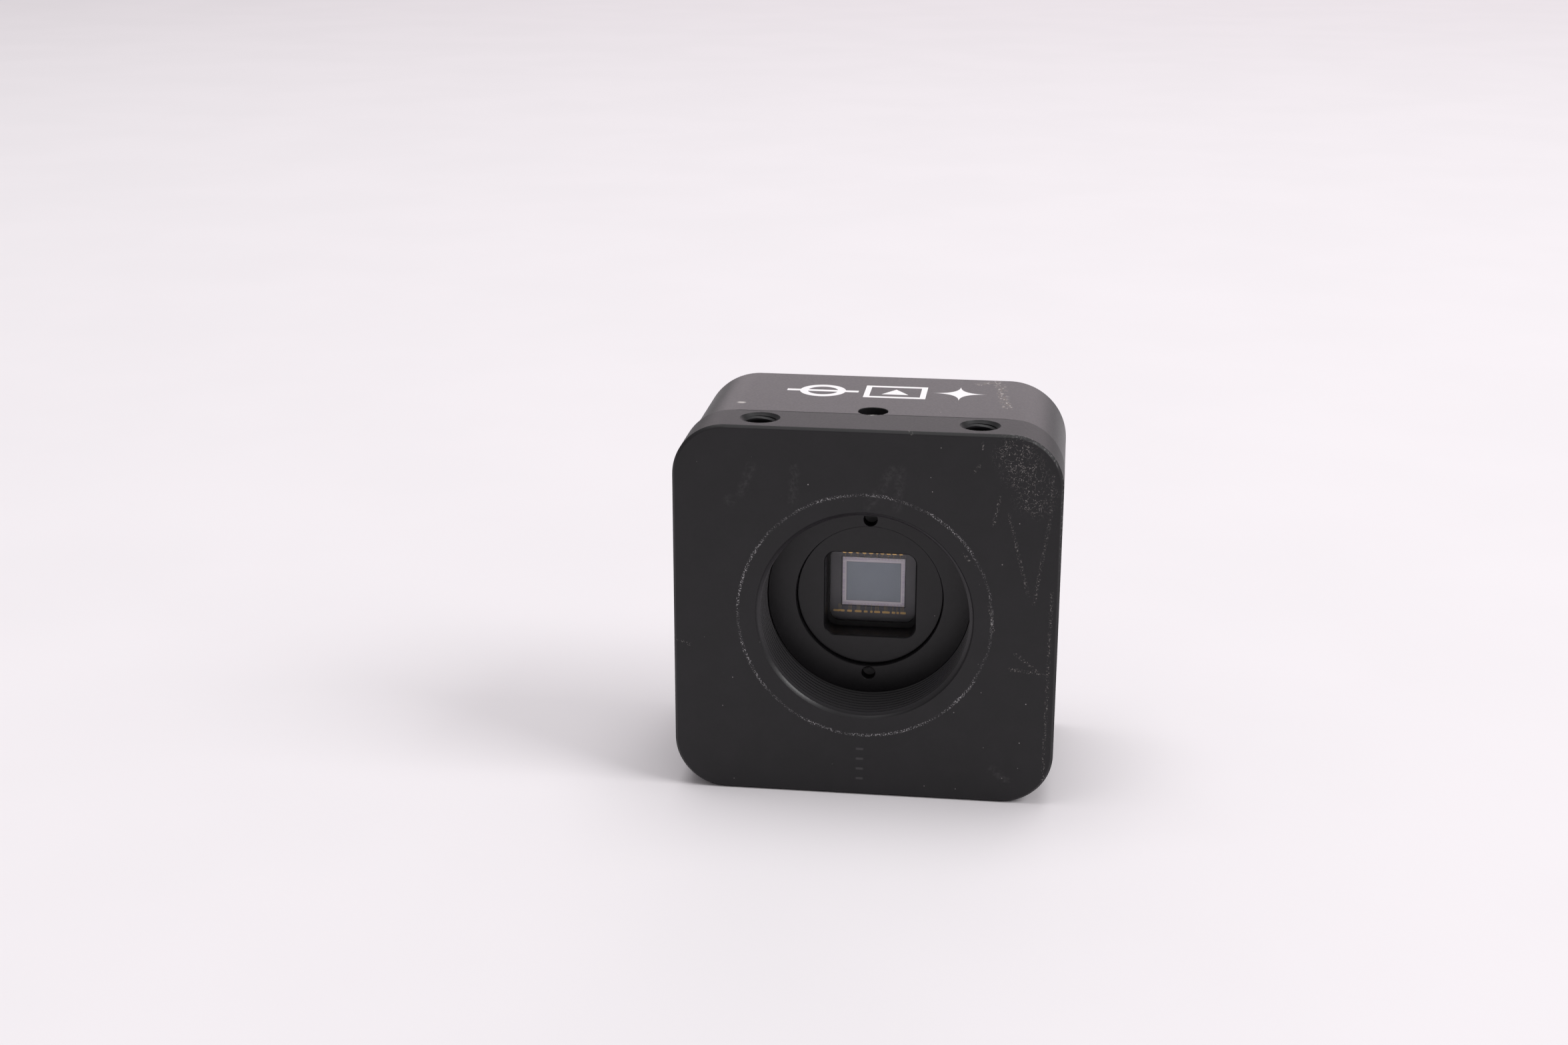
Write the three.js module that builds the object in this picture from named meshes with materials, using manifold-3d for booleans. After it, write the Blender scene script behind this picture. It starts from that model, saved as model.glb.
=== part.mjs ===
// A compact camera for astronomy and machine vision, with a 1 inch - 32 lens mount.
// Units are millimetres and +Z is up. The lens mount faces -Y and the object stands on its flat bottom.
// Inside the camera group, Y is the depth behind the front face and the lens axis is X = 0, Z = 0.

import * as THREE from 'three';
import { mergeVertices } from 'three/addons/utils/BufferGeometryUtils.js';
import Module from 'manifold-3d';

const wasm = await Module();
wasm.setup();

// Fits between pieces
const CONTACT_GAP = 0.02;
const SLIDING_GAP = 0.08;
const THREAD_GAP = 0.05;
const LOOSE_GAP = 0.4;
const PARTING_GAP = 0.05;

// Case
const WIDTH = 45;
const HEIGHT = 45.2;
const CASE_DEPTH = 25.2;
const FRONT_THICKNESS = 6.9;
const FRONT_CORNER_RADIUS = 6.2;
const REAR_CORNER_RADIUS = 7.1;
const WALL = 2;
const REAR_WALL = 2.2;
const FRONT_BEVEL = 0.6;
const REAR_BEVEL = 0.3;
const LIP_THICKNESS = 1.2;
const LIP_LENGTH = 1.5;
const GASKET_WIDTH = 1;
const GASKET_THICKNESS = 0.3;

// Lens mount: 1 inch - 32 thread
const THREAD_MAJOR_RADIUS = 12.7;
const THREAD_MINOR_RADIUS = 12.25;
const BOSS_WALL = 2.75;
const BOSS_LENGTH = 3.3;

// Mounting holes in the top of the front shell
const MOUNT_HOLE_SPACING = 25.4;
const MOUNT_HOLE_DEPTH = 3.8;
const MOUNT_HOLE_RADIUS = 1.85;
const MOUNT_HOLE_MOUTH_RADIUS = 2.33;
const MOUNT_HOLE_LENGTH = 5.2;

// Back-focus ring and its lock screw
const RING_FACE = 7;
const RING_LENGTH = 3.5;
const RING_INNER_RADIUS = 8.8;
const RING_SEAT_RADIUS = 10.6;
const RING_SEAT_DEPTH = 2;
const SPANNER_HOLE_RADIUS = 0.8;
const SPANNER_HOLE_OFFSET = 9.72;
const SPANNER_HOLE_LENGTH = 1.6;
const RETAINER_THICKNESS = 0.5;
const FOCUS_TRAVEL = 0.4;
const LOCK_SCREW_DEPTH = 8.35;
const LOCK_SCREW_RADIUS = 1.45;
const LOCK_SCREW_SINK = 1.05;
const LOCK_ACCESS_RADIUS = 1.75;
const LOCK_SOCKET_RADIUS = 0.87;
const LOCK_SOCKET_LENGTH = 1.6;

// Sensor carriage
const MASK_RECESS = 0.8;
const WINDOW_WIDTH = 10.9;
const WINDOW_HEIGHT = 10.5;
const WINDOW_CORNER = 1.3;
const FLANGE_THICKNESS = 0.9;
const MASK_LENGTH = 3.65;
const SEAL_SIZE = 12.4;
const SEAL_RECESS = 0.45;
const SEAL_OPENING_WIDTH = 10.4;
const SEAL_OPENING_HEIGHT = 9.3;
const PLATE_HEIGHT = 24;
const PLATE_RING_GAP = 0.25;
const PLATE_END = 13.35;
const PLATE_CORNER = 2;
const PLATE_MARGIN = 0.7;
const GUIDE_PIN_RADIUS = 0.8;
const GUIDE_PIN_SEAT = 2.2;
const GUIDE_PIN_END_GAP = 0.6;
const SENSOR_DEPTH = 12.526;
const PACKAGE_SIZE = 14.2;
const PACKAGE_CORNER = 0.4;
const GLASS_SIZE = 13;
const GLASS_THICKNESS = 0.55;
const GLASS_LIFT = 0.42;
const CAVITY_WIDTH = 11.6;
const CAVITY_HEIGHT = 11;
const LEDGE_DEPTH = 0.35;
const FLOOR_HEIGHT = 7.1;
const DIE_WIDTH = 7.6;
const DIE_HEIGHT = 6.15;
const DIE_THICKNESS = 0.42;
const SENSOR_BOARD_WIDTH = 30;
const SENSOR_BOARD_HEIGHT = 25;
const BOARD_THICKNESS = 1.6;
const BOARD_SCREW_X = 12.2;
const BOARD_SCREW_Z = 9.8;

// Screws and spacers
const CASE_SCREW_RADIUS = 1.2;
const CASE_SCREW_HEAD_RADIUS = 2.3;
const CASE_SCREW_HEAD_HEIGHT = 1.3;
const CASE_SCREW_LENGTH = 7;
const CASE_SCREW_SINK = 0.15;
const POST_RADIUS = 2.7;
const SMALL_SCREW_RADIUS = 0.95;
const SMALL_SCREW_HEAD_RADIUS = 1.8;
const SMALL_SCREW_HEAD_HEIGHT = 1.3;
const SMALL_SCREW_LENGTH = 4;
const DRIVE_RADIUS = 0.75;
const DRIVE_LENGTH = 0.7;
const SPACER_RADIUS = 2.08;
const SPACER_X = 9;
const SPACER_STUD_LENGTH = 3;

// Main board and what it carries
const MAIN_BOARD_FRONT = 18.6;
const MAIN_BOARD_MARGIN = 0.8;
const PROCESSOR_SIZE = 14;
const PROCESSOR_THICKNESS = 1.48;
const PROCESSOR_Z = -6;
const CONNECTOR_WIDTH = 12;
const CONNECTOR_HEIGHT = 3;
const CONNECTOR_Z = -9;
const CONNECTOR_THICKNESS = 1.1;
const FLEX_WIDTH = 10;
const FLEX_THICKNESS = 0.2;
const FLEX_REACH = 14.2;
const MEMORY = { width: 11, height: 8, thickness: 1.2, x: 0, z: 5 };
const CRYSTAL = { width: 5, height: 3.2, thickness: 1.2, x: -13, z: 3 };
const INDUCTOR = { width: 5, height: 5, thickness: 2.4, x: 13, z: -3 };

// Rear panel
const USB_X = -9.5;
const USB_Z = 9;
const USB_WIDTH = 7.7;
const USB_HEIGHT = 3.9;
const USB_WALL = 0.35;
const USB_STAND_OUT = 0.2;
const USB_TONGUE_WIDTH = 5;
const USB_TONGUE_THICKNESS = 0.9;
const TRIGGER_X = 9.5;
const TRIGGER_Z = 9;
const TRIGGER_RADIUS = 4.5;
const TRIGGER_BORE_RADIUS = 3.7;
const TRIGGER_FLANGE_RADIUS = 5.4;
const TRIGGER_FLANGE_THICKNESS = 1;
const TRIGGER_INSERT_THICKNESS = 1.3;
const TRIGGER_NUT_ACROSS_FLATS = 10;
const TRIGGER_NUT_THICKNESS = 1.5;
const LIGHT_PIPE_Z = 12;
const LIGHT_PIPE_RADIUS = 1;
const LAMP_WIDTH = 1.6;
const LAMP_HEIGHT = 0.8;
const LAMP_THICKNESS = 0.8;

// Sizes worked out from the ones above
const CUT = 1;
const INNER_REAR = CASE_DEPTH - REAR_WALL;
const BOSS_RADIUS = THREAD_MINOR_RADIUS + BOSS_WALL;
const BOSS_END = FRONT_THICKNESS + BOSS_LENGTH;
const LIP_INSET = WALL + SLIDING_GAP;
const LIP_INNER_INSET = LIP_INSET + LIP_THICKNESS;
const POST_ROOM = REAR_CORNER_RADIUS - WALL - SLIDING_GAP - POST_RADIUS;
const POST_INSET = REAR_CORNER_RADIUS - POST_ROOM / Math.SQRT2;
const POST_X = WIDTH / 2 - POST_INSET;
const POST_Z = HEIGHT / 2 - POST_INSET;
const SPACER_Z = HEIGHT / 2 - LIP_INNER_INSET - SPACER_RADIUS - LOOSE_GAP / 2;
const RING_RADIUS = THREAD_MINOR_RADIUS - SLIDING_GAP;
const RING_END = RING_FACE + RING_LENGTH;
const RING_SEAT = RING_FACE + RING_SEAT_DEPTH;
const MASK_FACE = RING_FACE + MASK_RECESS;
const MASK_END = MASK_FACE + MASK_LENGTH;
const MASK_NOSE_RADIUS = RING_INNER_RADIUS - 2 * SLIDING_GAP;
const FLANGE_RADIUS = RING_SEAT_RADIUS - 2 * SLIDING_GAP;
const FLANGE_START = RING_SEAT + THREAD_GAP;
const FLANGE_END = FLANGE_START + FLANGE_THICKNESS;
const NECK_RADIUS = MASK_NOSE_RADIUS + 4 * SLIDING_GAP;
const PLATE_START = RING_END + PLATE_RING_GAP;
const GUIDE_PIN_X = (THREAD_MINOR_RADIUS + BOSS_RADIUS) / 2;
const PLATE_WIDTH = 2 * (GUIDE_PIN_X + GUIDE_PIN_RADIUS + SLIDING_GAP + PLATE_MARGIN);
const DIE_FLOOR = SENSOR_DEPTH + DIE_THICKNESS;
const PACKAGE_FRONT = SENSOR_DEPTH - GLASS_LIFT;
const GLASS_FRONT = PACKAGE_FRONT - CONTACT_GAP - GLASS_THICKNESS;
const SENSOR_BOARD_FRONT = PLATE_END + CONTACT_GAP;
const SENSOR_BOARD_REAR = SENSOR_BOARD_FRONT + BOARD_THICKNESS;
const MAIN_BOARD_REAR = MAIN_BOARD_FRONT + BOARD_THICKNESS;
const MAIN_BOARD_SEAT = MAIN_BOARD_REAR + CONTACT_GAP;
const OVERALL_DEPTH = CASE_DEPTH + CONTACT_GAP + TRIGGER_FLANGE_THICKNESS;
const CORNERS = [[-1, 1], [1, 1], [-1, -1], [1, -1]];

// Finishes
const black = { color: 0x1b1b1d, roughness: 0.55, metalness: 0.6 };
const steel = { color: 0xa9a9ad, roughness: 0.3, metalness: 1 };
const darkSteel = { color: 0x3a3a3d, roughness: 0.4, metalness: 1 };
const circuit = { color: 0x0f4a2c, roughness: 0.5, metalness: 0.1 };
const chip = { color: 0x17181a, roughness: 0.6, metalness: 0 };
const nylon = { color: 0x24211d, roughness: 0.6, metalness: 0 };
const rubber = { color: 0x121212, roughness: 0.9, metalness: 0 };
const ceramic = { color: 0x3b3a40, roughness: 0.5, metalness: 0 };
const silicon = { color: 0x8f93b4, roughness: 0.2, metalness: 0.4 };
const clear = { color: 0xe6f2f2, roughness: 0.05, metalness: 0, transparent: true, opacity: 0.3 };
const polyimide = { color: 0xb5651d, roughness: 0.5, metalness: 0 };
const padGrey = { color: 0x8c93a3, roughness: 0.9, metalness: 0 };

const camera = new THREE.Group();
camera.position.set(0, -OVERALL_DEPTH / 2, HEIGHT / 2);

// Turns a closed three.js geometry into a solid that can be joined and cut.
function solid(geometry) {
  const bare = geometry.clone();
  bare.deleteAttribute('normal');
  bare.deleteAttribute('uv');
  const merged = mergeVertices(bare, 1e-5);
  const vertProperties = new Float32Array(merged.attributes.position.array);
  const triVerts = new Uint32Array(merged.index.array);
  return new wasm.Manifold(new wasm.Mesh({ numProp: 3, vertProperties, triVerts }));
}

// Adds a solid to a group as one named mesh.
function addPart(name, body, finish, parent = camera) {
  const { vertProperties, triVerts } = body.getMesh();
  const geometry = new THREE.BufferGeometry();
  geometry.setAttribute('position', new THREE.BufferAttribute(new Float32Array(vertProperties), 3));
  geometry.setIndex(new THREE.BufferAttribute(new Uint32Array(triVerts), 1));
  const flat = geometry.toNonIndexed();
  flat.computeVertexNormals();
  const mesh = new THREE.Mesh(flat, new THREE.MeshStandardMaterial(finish));
  mesh.name = name;
  parent.add(mesh);
  return mesh;
}

// A rectangle with round corners, centred on the lens axis.
function roundedRectangle(width, height, radius) {
  const x = width / 2;
  const y = height / 2;
  const shape = new THREE.Shape();
  shape.moveTo(-x + radius, -y);
  shape.lineTo(x - radius, -y);
  shape.absarc(x - radius, -y + radius, radius, -Math.PI / 2, 0);
  shape.lineTo(x, y - radius);
  shape.absarc(x - radius, y - radius, radius, 0, Math.PI / 2);
  shape.lineTo(-x + radius, y);
  shape.absarc(-x + radius, y - radius, radius, Math.PI / 2, Math.PI);
  shape.lineTo(-x, -y + radius);
  shape.absarc(-x + radius, -y + radius, radius, Math.PI, 1.5 * Math.PI);
  return shape;
}

// The case outline behind the parting line, moved inwards by inset.
function caseOutline(inset) {
  return roundedRectangle(WIDTH - 2 * inset, HEIGHT - 2 * inset, REAR_CORNER_RADIUS - inset);
}

// A shape in X and Z, extruded in depth from start to end.
function slab(shape, start, end) {
  const options = { depth: end - start, bevelEnabled: false, curveSegments: 10 };
  return solid(new THREE.ExtrudeGeometry(shape, options).rotateX(Math.PI / 2).translate(0, end, 0));
}

// The same, with both end edges bevelled.
function bevelledSlab(shape, start, end, bevel) {
  const options = {
    depth: end - start - 2 * bevel,
    bevelThickness: bevel,
    bevelSize: bevel,
    bevelOffset: -bevel,
    bevelSegments: 1,
    curveSegments: 10,
  };
  const geometry = new THREE.ExtrudeGeometry(shape, options);
  return solid(geometry.rotateX(Math.PI / 2).translate(0, end - bevel, 0));
}

// A block given by its size and centre in X and Z, and by its depth from start to end.
function block(width, height, start, end, x = 0, z = 0) {
  return solid(new THREE.BoxGeometry(width, end - start, height).translate(x, (start + end) / 2, z));
}

// A round bar along the depth.
function bar(radius, start, end, x = 0, z = 0, sides = 24) {
  const geometry = new THREE.CylinderGeometry(radius, radius, end - start, sides);
  return solid(geometry.translate(x, (start + end) / 2, z));
}

// A cone along the depth: radius at start, then radius at end.
function cone(startRadius, endRadius, start, end, x = 0, z = 0, sides = 24) {
  const geometry = new THREE.CylinderGeometry(endRadius, startRadius, end - start, sides);
  return solid(geometry.translate(x, (start + end) / 2, z));
}

// An upright round bar, from low to high.
function upright(radius, low, high, x, depth, sides = 24) {
  return uprightCone(radius, radius, low, high, x, depth, sides);
}

// An upright cone: radius at low, then radius at high.
function uprightCone(lowRadius, highRadius, low, high, x, depth, sides = 24) {
  const geometry = new THREE.CylinderGeometry(highRadius, lowRadius, high - low, sides);
  return solid(geometry.rotateX(Math.PI / 2).translate(x, depth, (low + high) / 2));
}

// A ring about the lens axis, from its section's corners as [radius, depth] pairs.
function revolved(corners, sides = 72) {
  const profile = [...corners, corners[0]].map(([radius, depth]) => new THREE.Vector2(radius, depth));
  return solid(new THREE.LatheGeometry(profile, sides));
}

// Cuts away what must clear the case posts and the board spacers.
function clearOfPosts(body, start, end) {
  let cut = body;
  for (const [sideX, sideZ] of CORNERS) {
    cut = cut.subtract(bar(POST_RADIUS + LOOSE_GAP, start, end, sideX * POST_X, sideZ * POST_Z));
  }
  return cut;
}

function clearOfSpacers(body, start, end) {
  let cut = body;
  for (const [sideX, sideZ] of CORNERS) {
    const gap = bar(SPACER_RADIUS + LOOSE_GAP / 2, start, end, sideX * SPACER_X, sideZ * SPACER_Z);
    cut = cut.subtract(gap);
  }
  return cut;
}

// Front shell: machined plate with the lens thread, a boss behind it, a locating lip and four posts.
function frontShell() {
  const outline = roundedRectangle(WIDTH, HEIGHT, FRONT_CORNER_RADIUS);
  let body = bevelledSlab(outline, 0, FRONT_THICKNESS + 2 * CUT, FRONT_BEVEL);
  body = body.intersect(block(2 * WIDTH, 2 * HEIGHT, -CUT, FRONT_THICKNESS));
  const lipEnd = FRONT_THICKNESS + LIP_LENGTH;
  const lip = slab(caseOutline(LIP_INSET), FRONT_THICKNESS - CUT, lipEnd);
  body = body.add(lip.subtract(slab(caseOutline(LIP_INNER_INSET), FRONT_THICKNESS, lipEnd + CUT)));
  body = body.add(bar(BOSS_RADIUS, FRONT_THICKNESS - CUT, BOSS_END, 0, 0, 72));
  body = clearOfSpacers(body, FRONT_THICKNESS, BOSS_END + CUT);
  for (const [sideX, sideZ] of CORNERS) {
    const x = sideX * POST_X;
    const z = sideZ * POST_Z;
    const tapEnd = INNER_REAR - CASE_SCREW_LENGTH;
    body = body.add(bar(POST_RADIUS, FRONT_THICKNESS - CUT, INNER_REAR - CONTACT_GAP, x, z));
    body = body.subtract(bar(CASE_SCREW_RADIUS + THREAD_GAP, tapEnd, INNER_REAR + CUT, x, z));
    const studHole = FRONT_THICKNESS - SPACER_STUD_LENGTH - CONTACT_GAP;
    const studRadius = SMALL_SCREW_RADIUS + THREAD_GAP;
    body = body.subtract(bar(studRadius, studHole, BOSS_END, sideX * SPACER_X, sideZ * SPACER_Z, 16));
  }
  body = body.subtract(bar(THREAD_MINOR_RADIUS, -CUT, BOSS_END + CUT, 0, 0, 72));
  const lead = THREAD_MAJOR_RADIUS - THREAD_MINOR_RADIUS;
  body = body.subtract(cone(THREAD_MAJOR_RADIUS + CUT, THREAD_MINOR_RADIUS, -CUT, lead, 0, 0, 72));
  const top = HEIGHT / 2;
  const sink = MOUNT_HOLE_MOUTH_RADIUS - MOUNT_HOLE_RADIUS;
  const mouthRadii = [MOUNT_HOLE_RADIUS, MOUNT_HOLE_MOUTH_RADIUS + CUT];
  const pinHole = [GUIDE_PIN_RADIUS + THREAD_GAP, BOSS_END - GUIDE_PIN_SEAT, BOSS_END + CUT];
  for (const side of [-1, 1]) {
    const place = [side * MOUNT_HOLE_SPACING / 2, MOUNT_HOLE_DEPTH, 32];
    body = body.subtract(upright(MOUNT_HOLE_RADIUS, top - MOUNT_HOLE_LENGTH, top + CUT, ...place));
    body = body.subtract(uprightCone(...mouthRadii, top - sink, top + CUT, ...place));
    body = body.subtract(bar(...pinHole, side * GUIDE_PIN_X, 0, 16));
  }
  const lockHole = LOCK_SCREW_RADIUS + THREAD_GAP;
  body = body.subtract(upright(lockHole, 0, BOSS_RADIUS + CUT, 0, LOCK_SCREW_DEPTH));
  body = body.subtract(upright(LOCK_ACCESS_RADIUS, BOSS_RADIUS, top + CUT, 0, LOCK_SCREW_DEPTH, 32));
  const notchHeight = LIP_INNER_INSET + CUT;
  const notchZ = HEIGHT / 2 - notchHeight / 2;
  const notchWidth = 2 * (LOCK_ACCESS_RADIUS + LOOSE_GAP);
  return body.subtract(block(notchWidth, notchHeight, FRONT_THICKNESS, lipEnd + CUT, 0, notchZ));
}
addPart('front_shell', frontShell(), black);

// Rear shell: machined cup with the access hole for the lock screw and the openings of the rear panel.
function rearShell() {
  const start = FRONT_THICKNESS + PARTING_GAP;
  let body = bevelledSlab(caseOutline(0), start - 2 * CUT, CASE_DEPTH, REAR_BEVEL);
  body = body.intersect(block(2 * WIDTH, 2 * HEIGHT, start, CASE_DEPTH + CUT));
  body = body.subtract(slab(caseOutline(WALL), start - CUT, INNER_REAR));
  const rebate = caseOutline(WALL - GASKET_WIDTH - THREAD_GAP);
  body = body.subtract(slab(rebate, start - CUT, start + GASKET_THICKNESS));
  const low = HEIGHT / 2 - WALL - CUT;
  const high = HEIGHT / 2 + CUT;
  body = body.subtract(upright(LOCK_ACCESS_RADIUS, low, high, 0, LOCK_SCREW_DEPTH, 32));
  const sink = CASE_SCREW_HEAD_HEIGHT + CASE_SCREW_SINK;
  for (const [sideX, sideZ] of CORNERS) {
    const x = sideX * POST_X;
    const z = sideZ * POST_Z;
    const head = CASE_SCREW_HEAD_RADIUS + THREAD_GAP;
    const shank = CASE_SCREW_RADIUS + THREAD_GAP;
    body = body.subtract(bar(shank, INNER_REAR - CUT, CASE_DEPTH + CUT, x, z));
    body = body.subtract(cone(shank, head, CASE_DEPTH - sink, CASE_DEPTH - CASE_SCREW_SINK, x, z));
    body = body.subtract(bar(head, CASE_DEPTH - CASE_SCREW_SINK, CASE_DEPTH + CUT, x, z));
  }
  const through = [INNER_REAR - CUT, CASE_DEPTH + CUT];
  const usbHole = [USB_WIDTH + LOOSE_GAP, USB_HEIGHT + LOOSE_GAP];
  body = body.subtract(block(...usbHole, ...through, USB_X, USB_Z));
  body = body.subtract(bar(TRIGGER_RADIUS + SLIDING_GAP, ...through, TRIGGER_X, TRIGGER_Z, 32));
  return body.subtract(bar(LIGHT_PIPE_RADIUS + SLIDING_GAP, ...through, 0, LIGHT_PIPE_Z));
}
addPart('rear_shell', rearShell(), black);

// Dust seal in the rebate between the two shells, open where the lock screw passes.
function housingGasket() {
  const start = FRONT_THICKNESS + CONTACT_GAP;
  const end = FRONT_THICKNESS + PARTING_GAP + GASKET_THICKNESS - CONTACT_GAP;
  const outer = slab(caseOutline(WALL - GASKET_WIDTH), start, end);
  const frame = outer.subtract(slab(caseOutline(WALL), start - CUT, end + CUT));
  const notchWidth = 2 * (LOCK_ACCESS_RADIUS + LOOSE_GAP);
  return frame.subtract(block(notchWidth, HEIGHT, start - CUT, end + CUT, 0, HEIGHT / 2));
}
addPart('housing_gasket', housingGasket(), rubber);

// A countersunk screw along the depth: the flat of its head is at depth 0 and its tip points forward.
function countersunkScrew() {
  const headEnd = -CASE_SCREW_HEAD_HEIGHT;
  const tip = -CASE_SCREW_LENGTH - REAR_WALL + CUT;
  const head = cone(CASE_SCREW_RADIUS, CASE_SCREW_HEAD_RADIUS, headEnd, 0);
  const shank = bar(CASE_SCREW_RADIUS, tip, headEnd + THREAD_GAP);
  return head.add(shank).subtract(bar(DRIVE_RADIUS, -DRIVE_LENGTH, CUT, 0, 0, 6));
}
CORNERS.forEach(([sideX, sideZ], index) => {
  const screw = addPart(`housing_screw_${index + 1}`, countersunkScrew(), darkSteel);
  screw.position.set(sideX * POST_X, CASE_DEPTH - CASE_SCREW_SINK, sideZ * POST_Z);
});

// Lock screw: hexagon-socket set screw that bears on the back-focus ring, in its own turning group.
function lockScrew(length) {
  const tip = uprightCone(LOCK_SCREW_RADIUS - LOOSE_GAP, LOCK_SCREW_RADIUS, 0, LOOSE_GAP, 0, 0);
  const shank = upright(LOCK_SCREW_RADIUS, LOOSE_GAP - THREAD_GAP, length, 0, 0);
  const socket = upright(LOCK_SOCKET_RADIUS, length - LOCK_SOCKET_LENGTH, length + CUT, 0, 0, 6);
  return tip.add(shank).subtract(socket);
}
const lockGroup = new THREE.Group();
const lockScrewLow = THREAD_MINOR_RADIUS + THREAD_GAP;
lockGroup.position.set(0, LOCK_SCREW_DEPTH, lockScrewLow);
camera.add(lockGroup);
addPart('lock_screw', lockScrew(HEIGHT / 2 - LOCK_SCREW_SINK - lockScrewLow), steel, lockGroup);

// Guide pins: two dowels pressed into the boss, which stop the sensor carriage from turning.
const guidePinLength = GUIDE_PIN_SEAT + PLATE_END - BOSS_END - GUIDE_PIN_END_GAP;
for (const [side, label] of [[-1, 'left'], [1, 'right']]) {
  const pin = addPart(`guide_pin_${label}`, bar(GUIDE_PIN_RADIUS, 0, guidePinLength, 0, 0, 16), steel);
  pin.position.set(side * GUIDE_PIN_X, BOSS_END - GUIDE_PIN_SEAT + CONTACT_GAP, 0);
}

// Back-focus ring: threaded ring with two spanner holes and a seat behind for the mask's flange.
const ringGroup = new THREE.Group();
camera.add(ringGroup);
function backFocusRing() {
  let body = revolved([
    [RING_INNER_RADIUS, RING_FACE],
    [RING_RADIUS, RING_FACE],
    [RING_RADIUS, RING_END],
    [RING_SEAT_RADIUS, RING_END],
    [RING_SEAT_RADIUS, RING_SEAT],
    [RING_INNER_RADIUS, RING_SEAT],
  ]);
  for (const side of [-1, 1]) {
    const hole = [RING_FACE - CUT, RING_FACE + SPANNER_HOLE_LENGTH, 0, side * SPANNER_HOLE_OFFSET];
    body = body.subtract(bar(SPANNER_HOLE_RADIUS, ...hole));
  }
  return body;
}
addPart('back_focus_ring', backFocusRing(), black, ringGroup);

// Ring retainer: thin ring screwed in behind the flange, so that the ring turns but stays on the mask.
const retainerStart = RING_END - RETAINER_THICKNESS;
const ringRetainer = revolved([
  [NECK_RADIUS + 2 * SLIDING_GAP, retainerStart],
  [RING_SEAT_RADIUS - THREAD_GAP, retainerStart],
  [RING_SEAT_RADIUS - THREAD_GAP, RING_END],
  [NECK_RADIUS + 2 * SLIDING_GAP, RING_END],
]);
addPart('ring_retainer', ringRetainer, black, ringGroup);

// Sensor mask: turned nose, flange and neck, with the window that the sensor looks through and, behind
// it, a square recess for the dust seal.
const carriage = new THREE.Group();
camera.add(carriage);
function sensorMask() {
  const body = bar(MASK_NOSE_RADIUS, MASK_FACE, FLANGE_END, 0, 0, 72)
    .add(bar(FLANGE_RADIUS, FLANGE_START, FLANGE_END, 0, 0, 72))
    .add(bar(NECK_RADIUS, FLANGE_START, MASK_END, 0, 0, 72));
  const recess = SEAL_SIZE + 2 * SLIDING_GAP;
  const outline = roundedRectangle(WINDOW_WIDTH, WINDOW_HEIGHT, WINDOW_CORNER);
  return body
    .subtract(slab(outline, MASK_FACE - CUT, MASK_END + CUT))
    .subtract(block(recess, recess, MASK_END - SEAL_RECESS, MASK_END + CUT));
}
addPart('sensor_mask', sensorMask(), black, carriage);

// Sensor seal: soft square frame in the mask's recess, pressed against the glass lid to keep dust out.
function sensorSeal() {
  const start = MASK_END - SEAL_RECESS + CONTACT_GAP;
  const end = GLASS_FRONT - CONTACT_GAP;
  const opening = roundedRectangle(SEAL_OPENING_WIDTH, SEAL_OPENING_HEIGHT, WINDOW_CORNER);
  return block(SEAL_SIZE, SEAL_SIZE, start, end).subtract(slab(opening, start - CUT, end + CUT));
}
addPart('sensor_seal', sensorSeal(), rubber, carriage);

// Sensor plate: holds the mask, the sensor package and the sensor board, and slides on the guide pins.
function sensorPlate() {
  const outline = roundedRectangle(PLATE_WIDTH, PLATE_HEIGHT, PLATE_CORNER);
  let body = slab(outline, PLATE_START, PLATE_END);
  body = body.subtract(bar(NECK_RADIUS + THREAD_GAP, PLATE_START - CUT, PLATE_END, 0, 0, 72));
  const pocket = PACKAGE_SIZE + LOOSE_GAP;
  body = body.subtract(block(pocket, pocket, MASK_END + CONTACT_GAP, PLATE_END + CUT));
  for (const side of [-1, 1]) {
    const guide = GUIDE_PIN_RADIUS + SLIDING_GAP;
    body = body.subtract(bar(guide, PLATE_START - CUT, PLATE_END + CUT, side * GUIDE_PIN_X, 0, 16));
  }
  for (const [sideX, sideZ] of CORNERS) {
    const place = [sideX * BOARD_SCREW_X, sideZ * BOARD_SCREW_Z, 16];
    const radius = SMALL_SCREW_RADIUS + THREAD_GAP;
    body = body.subtract(bar(radius, PLATE_START - CUT, PLATE_END + CUT, ...place));
  }
  body = clearOfPosts(body, PLATE_START - CUT, PLATE_END + CUT);
  return clearOfSpacers(body, PLATE_START - CUT, PLATE_END + CUT);
}
addPart('sensor_plate', sensorPlate(), black, carriage);

// Sensor package: ceramic carrier with a stepped cavity, the die on its floor and a glass lid.
const glassOutline = roundedRectangle(GLASS_SIZE, GLASS_SIZE, PACKAGE_CORNER);
addPart('sensor_glass', slab(glassOutline, GLASS_FRONT, PACKAGE_FRONT - CONTACT_GAP), clear, carriage);
const packageOutline = roundedRectangle(PACKAGE_SIZE, PACKAGE_SIZE, PACKAGE_CORNER);
const sensorPackage = slab(packageOutline, PACKAGE_FRONT, PLATE_END)
  .subtract(block(CAVITY_WIDTH, CAVITY_HEIGHT, PACKAGE_FRONT - CUT, PACKAGE_FRONT + LEDGE_DEPTH))
  .subtract(block(CAVITY_WIDTH, FLOOR_HEIGHT, PACKAGE_FRONT - CUT, DIE_FLOOR));
addPart('sensor_package', sensorPackage, ceramic, carriage);
const die = block(DIE_WIDTH, DIE_HEIGHT, SENSOR_DEPTH, DIE_FLOOR - CONTACT_GAP);
addPart('sensor_die', die, silicon, carriage);

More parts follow.
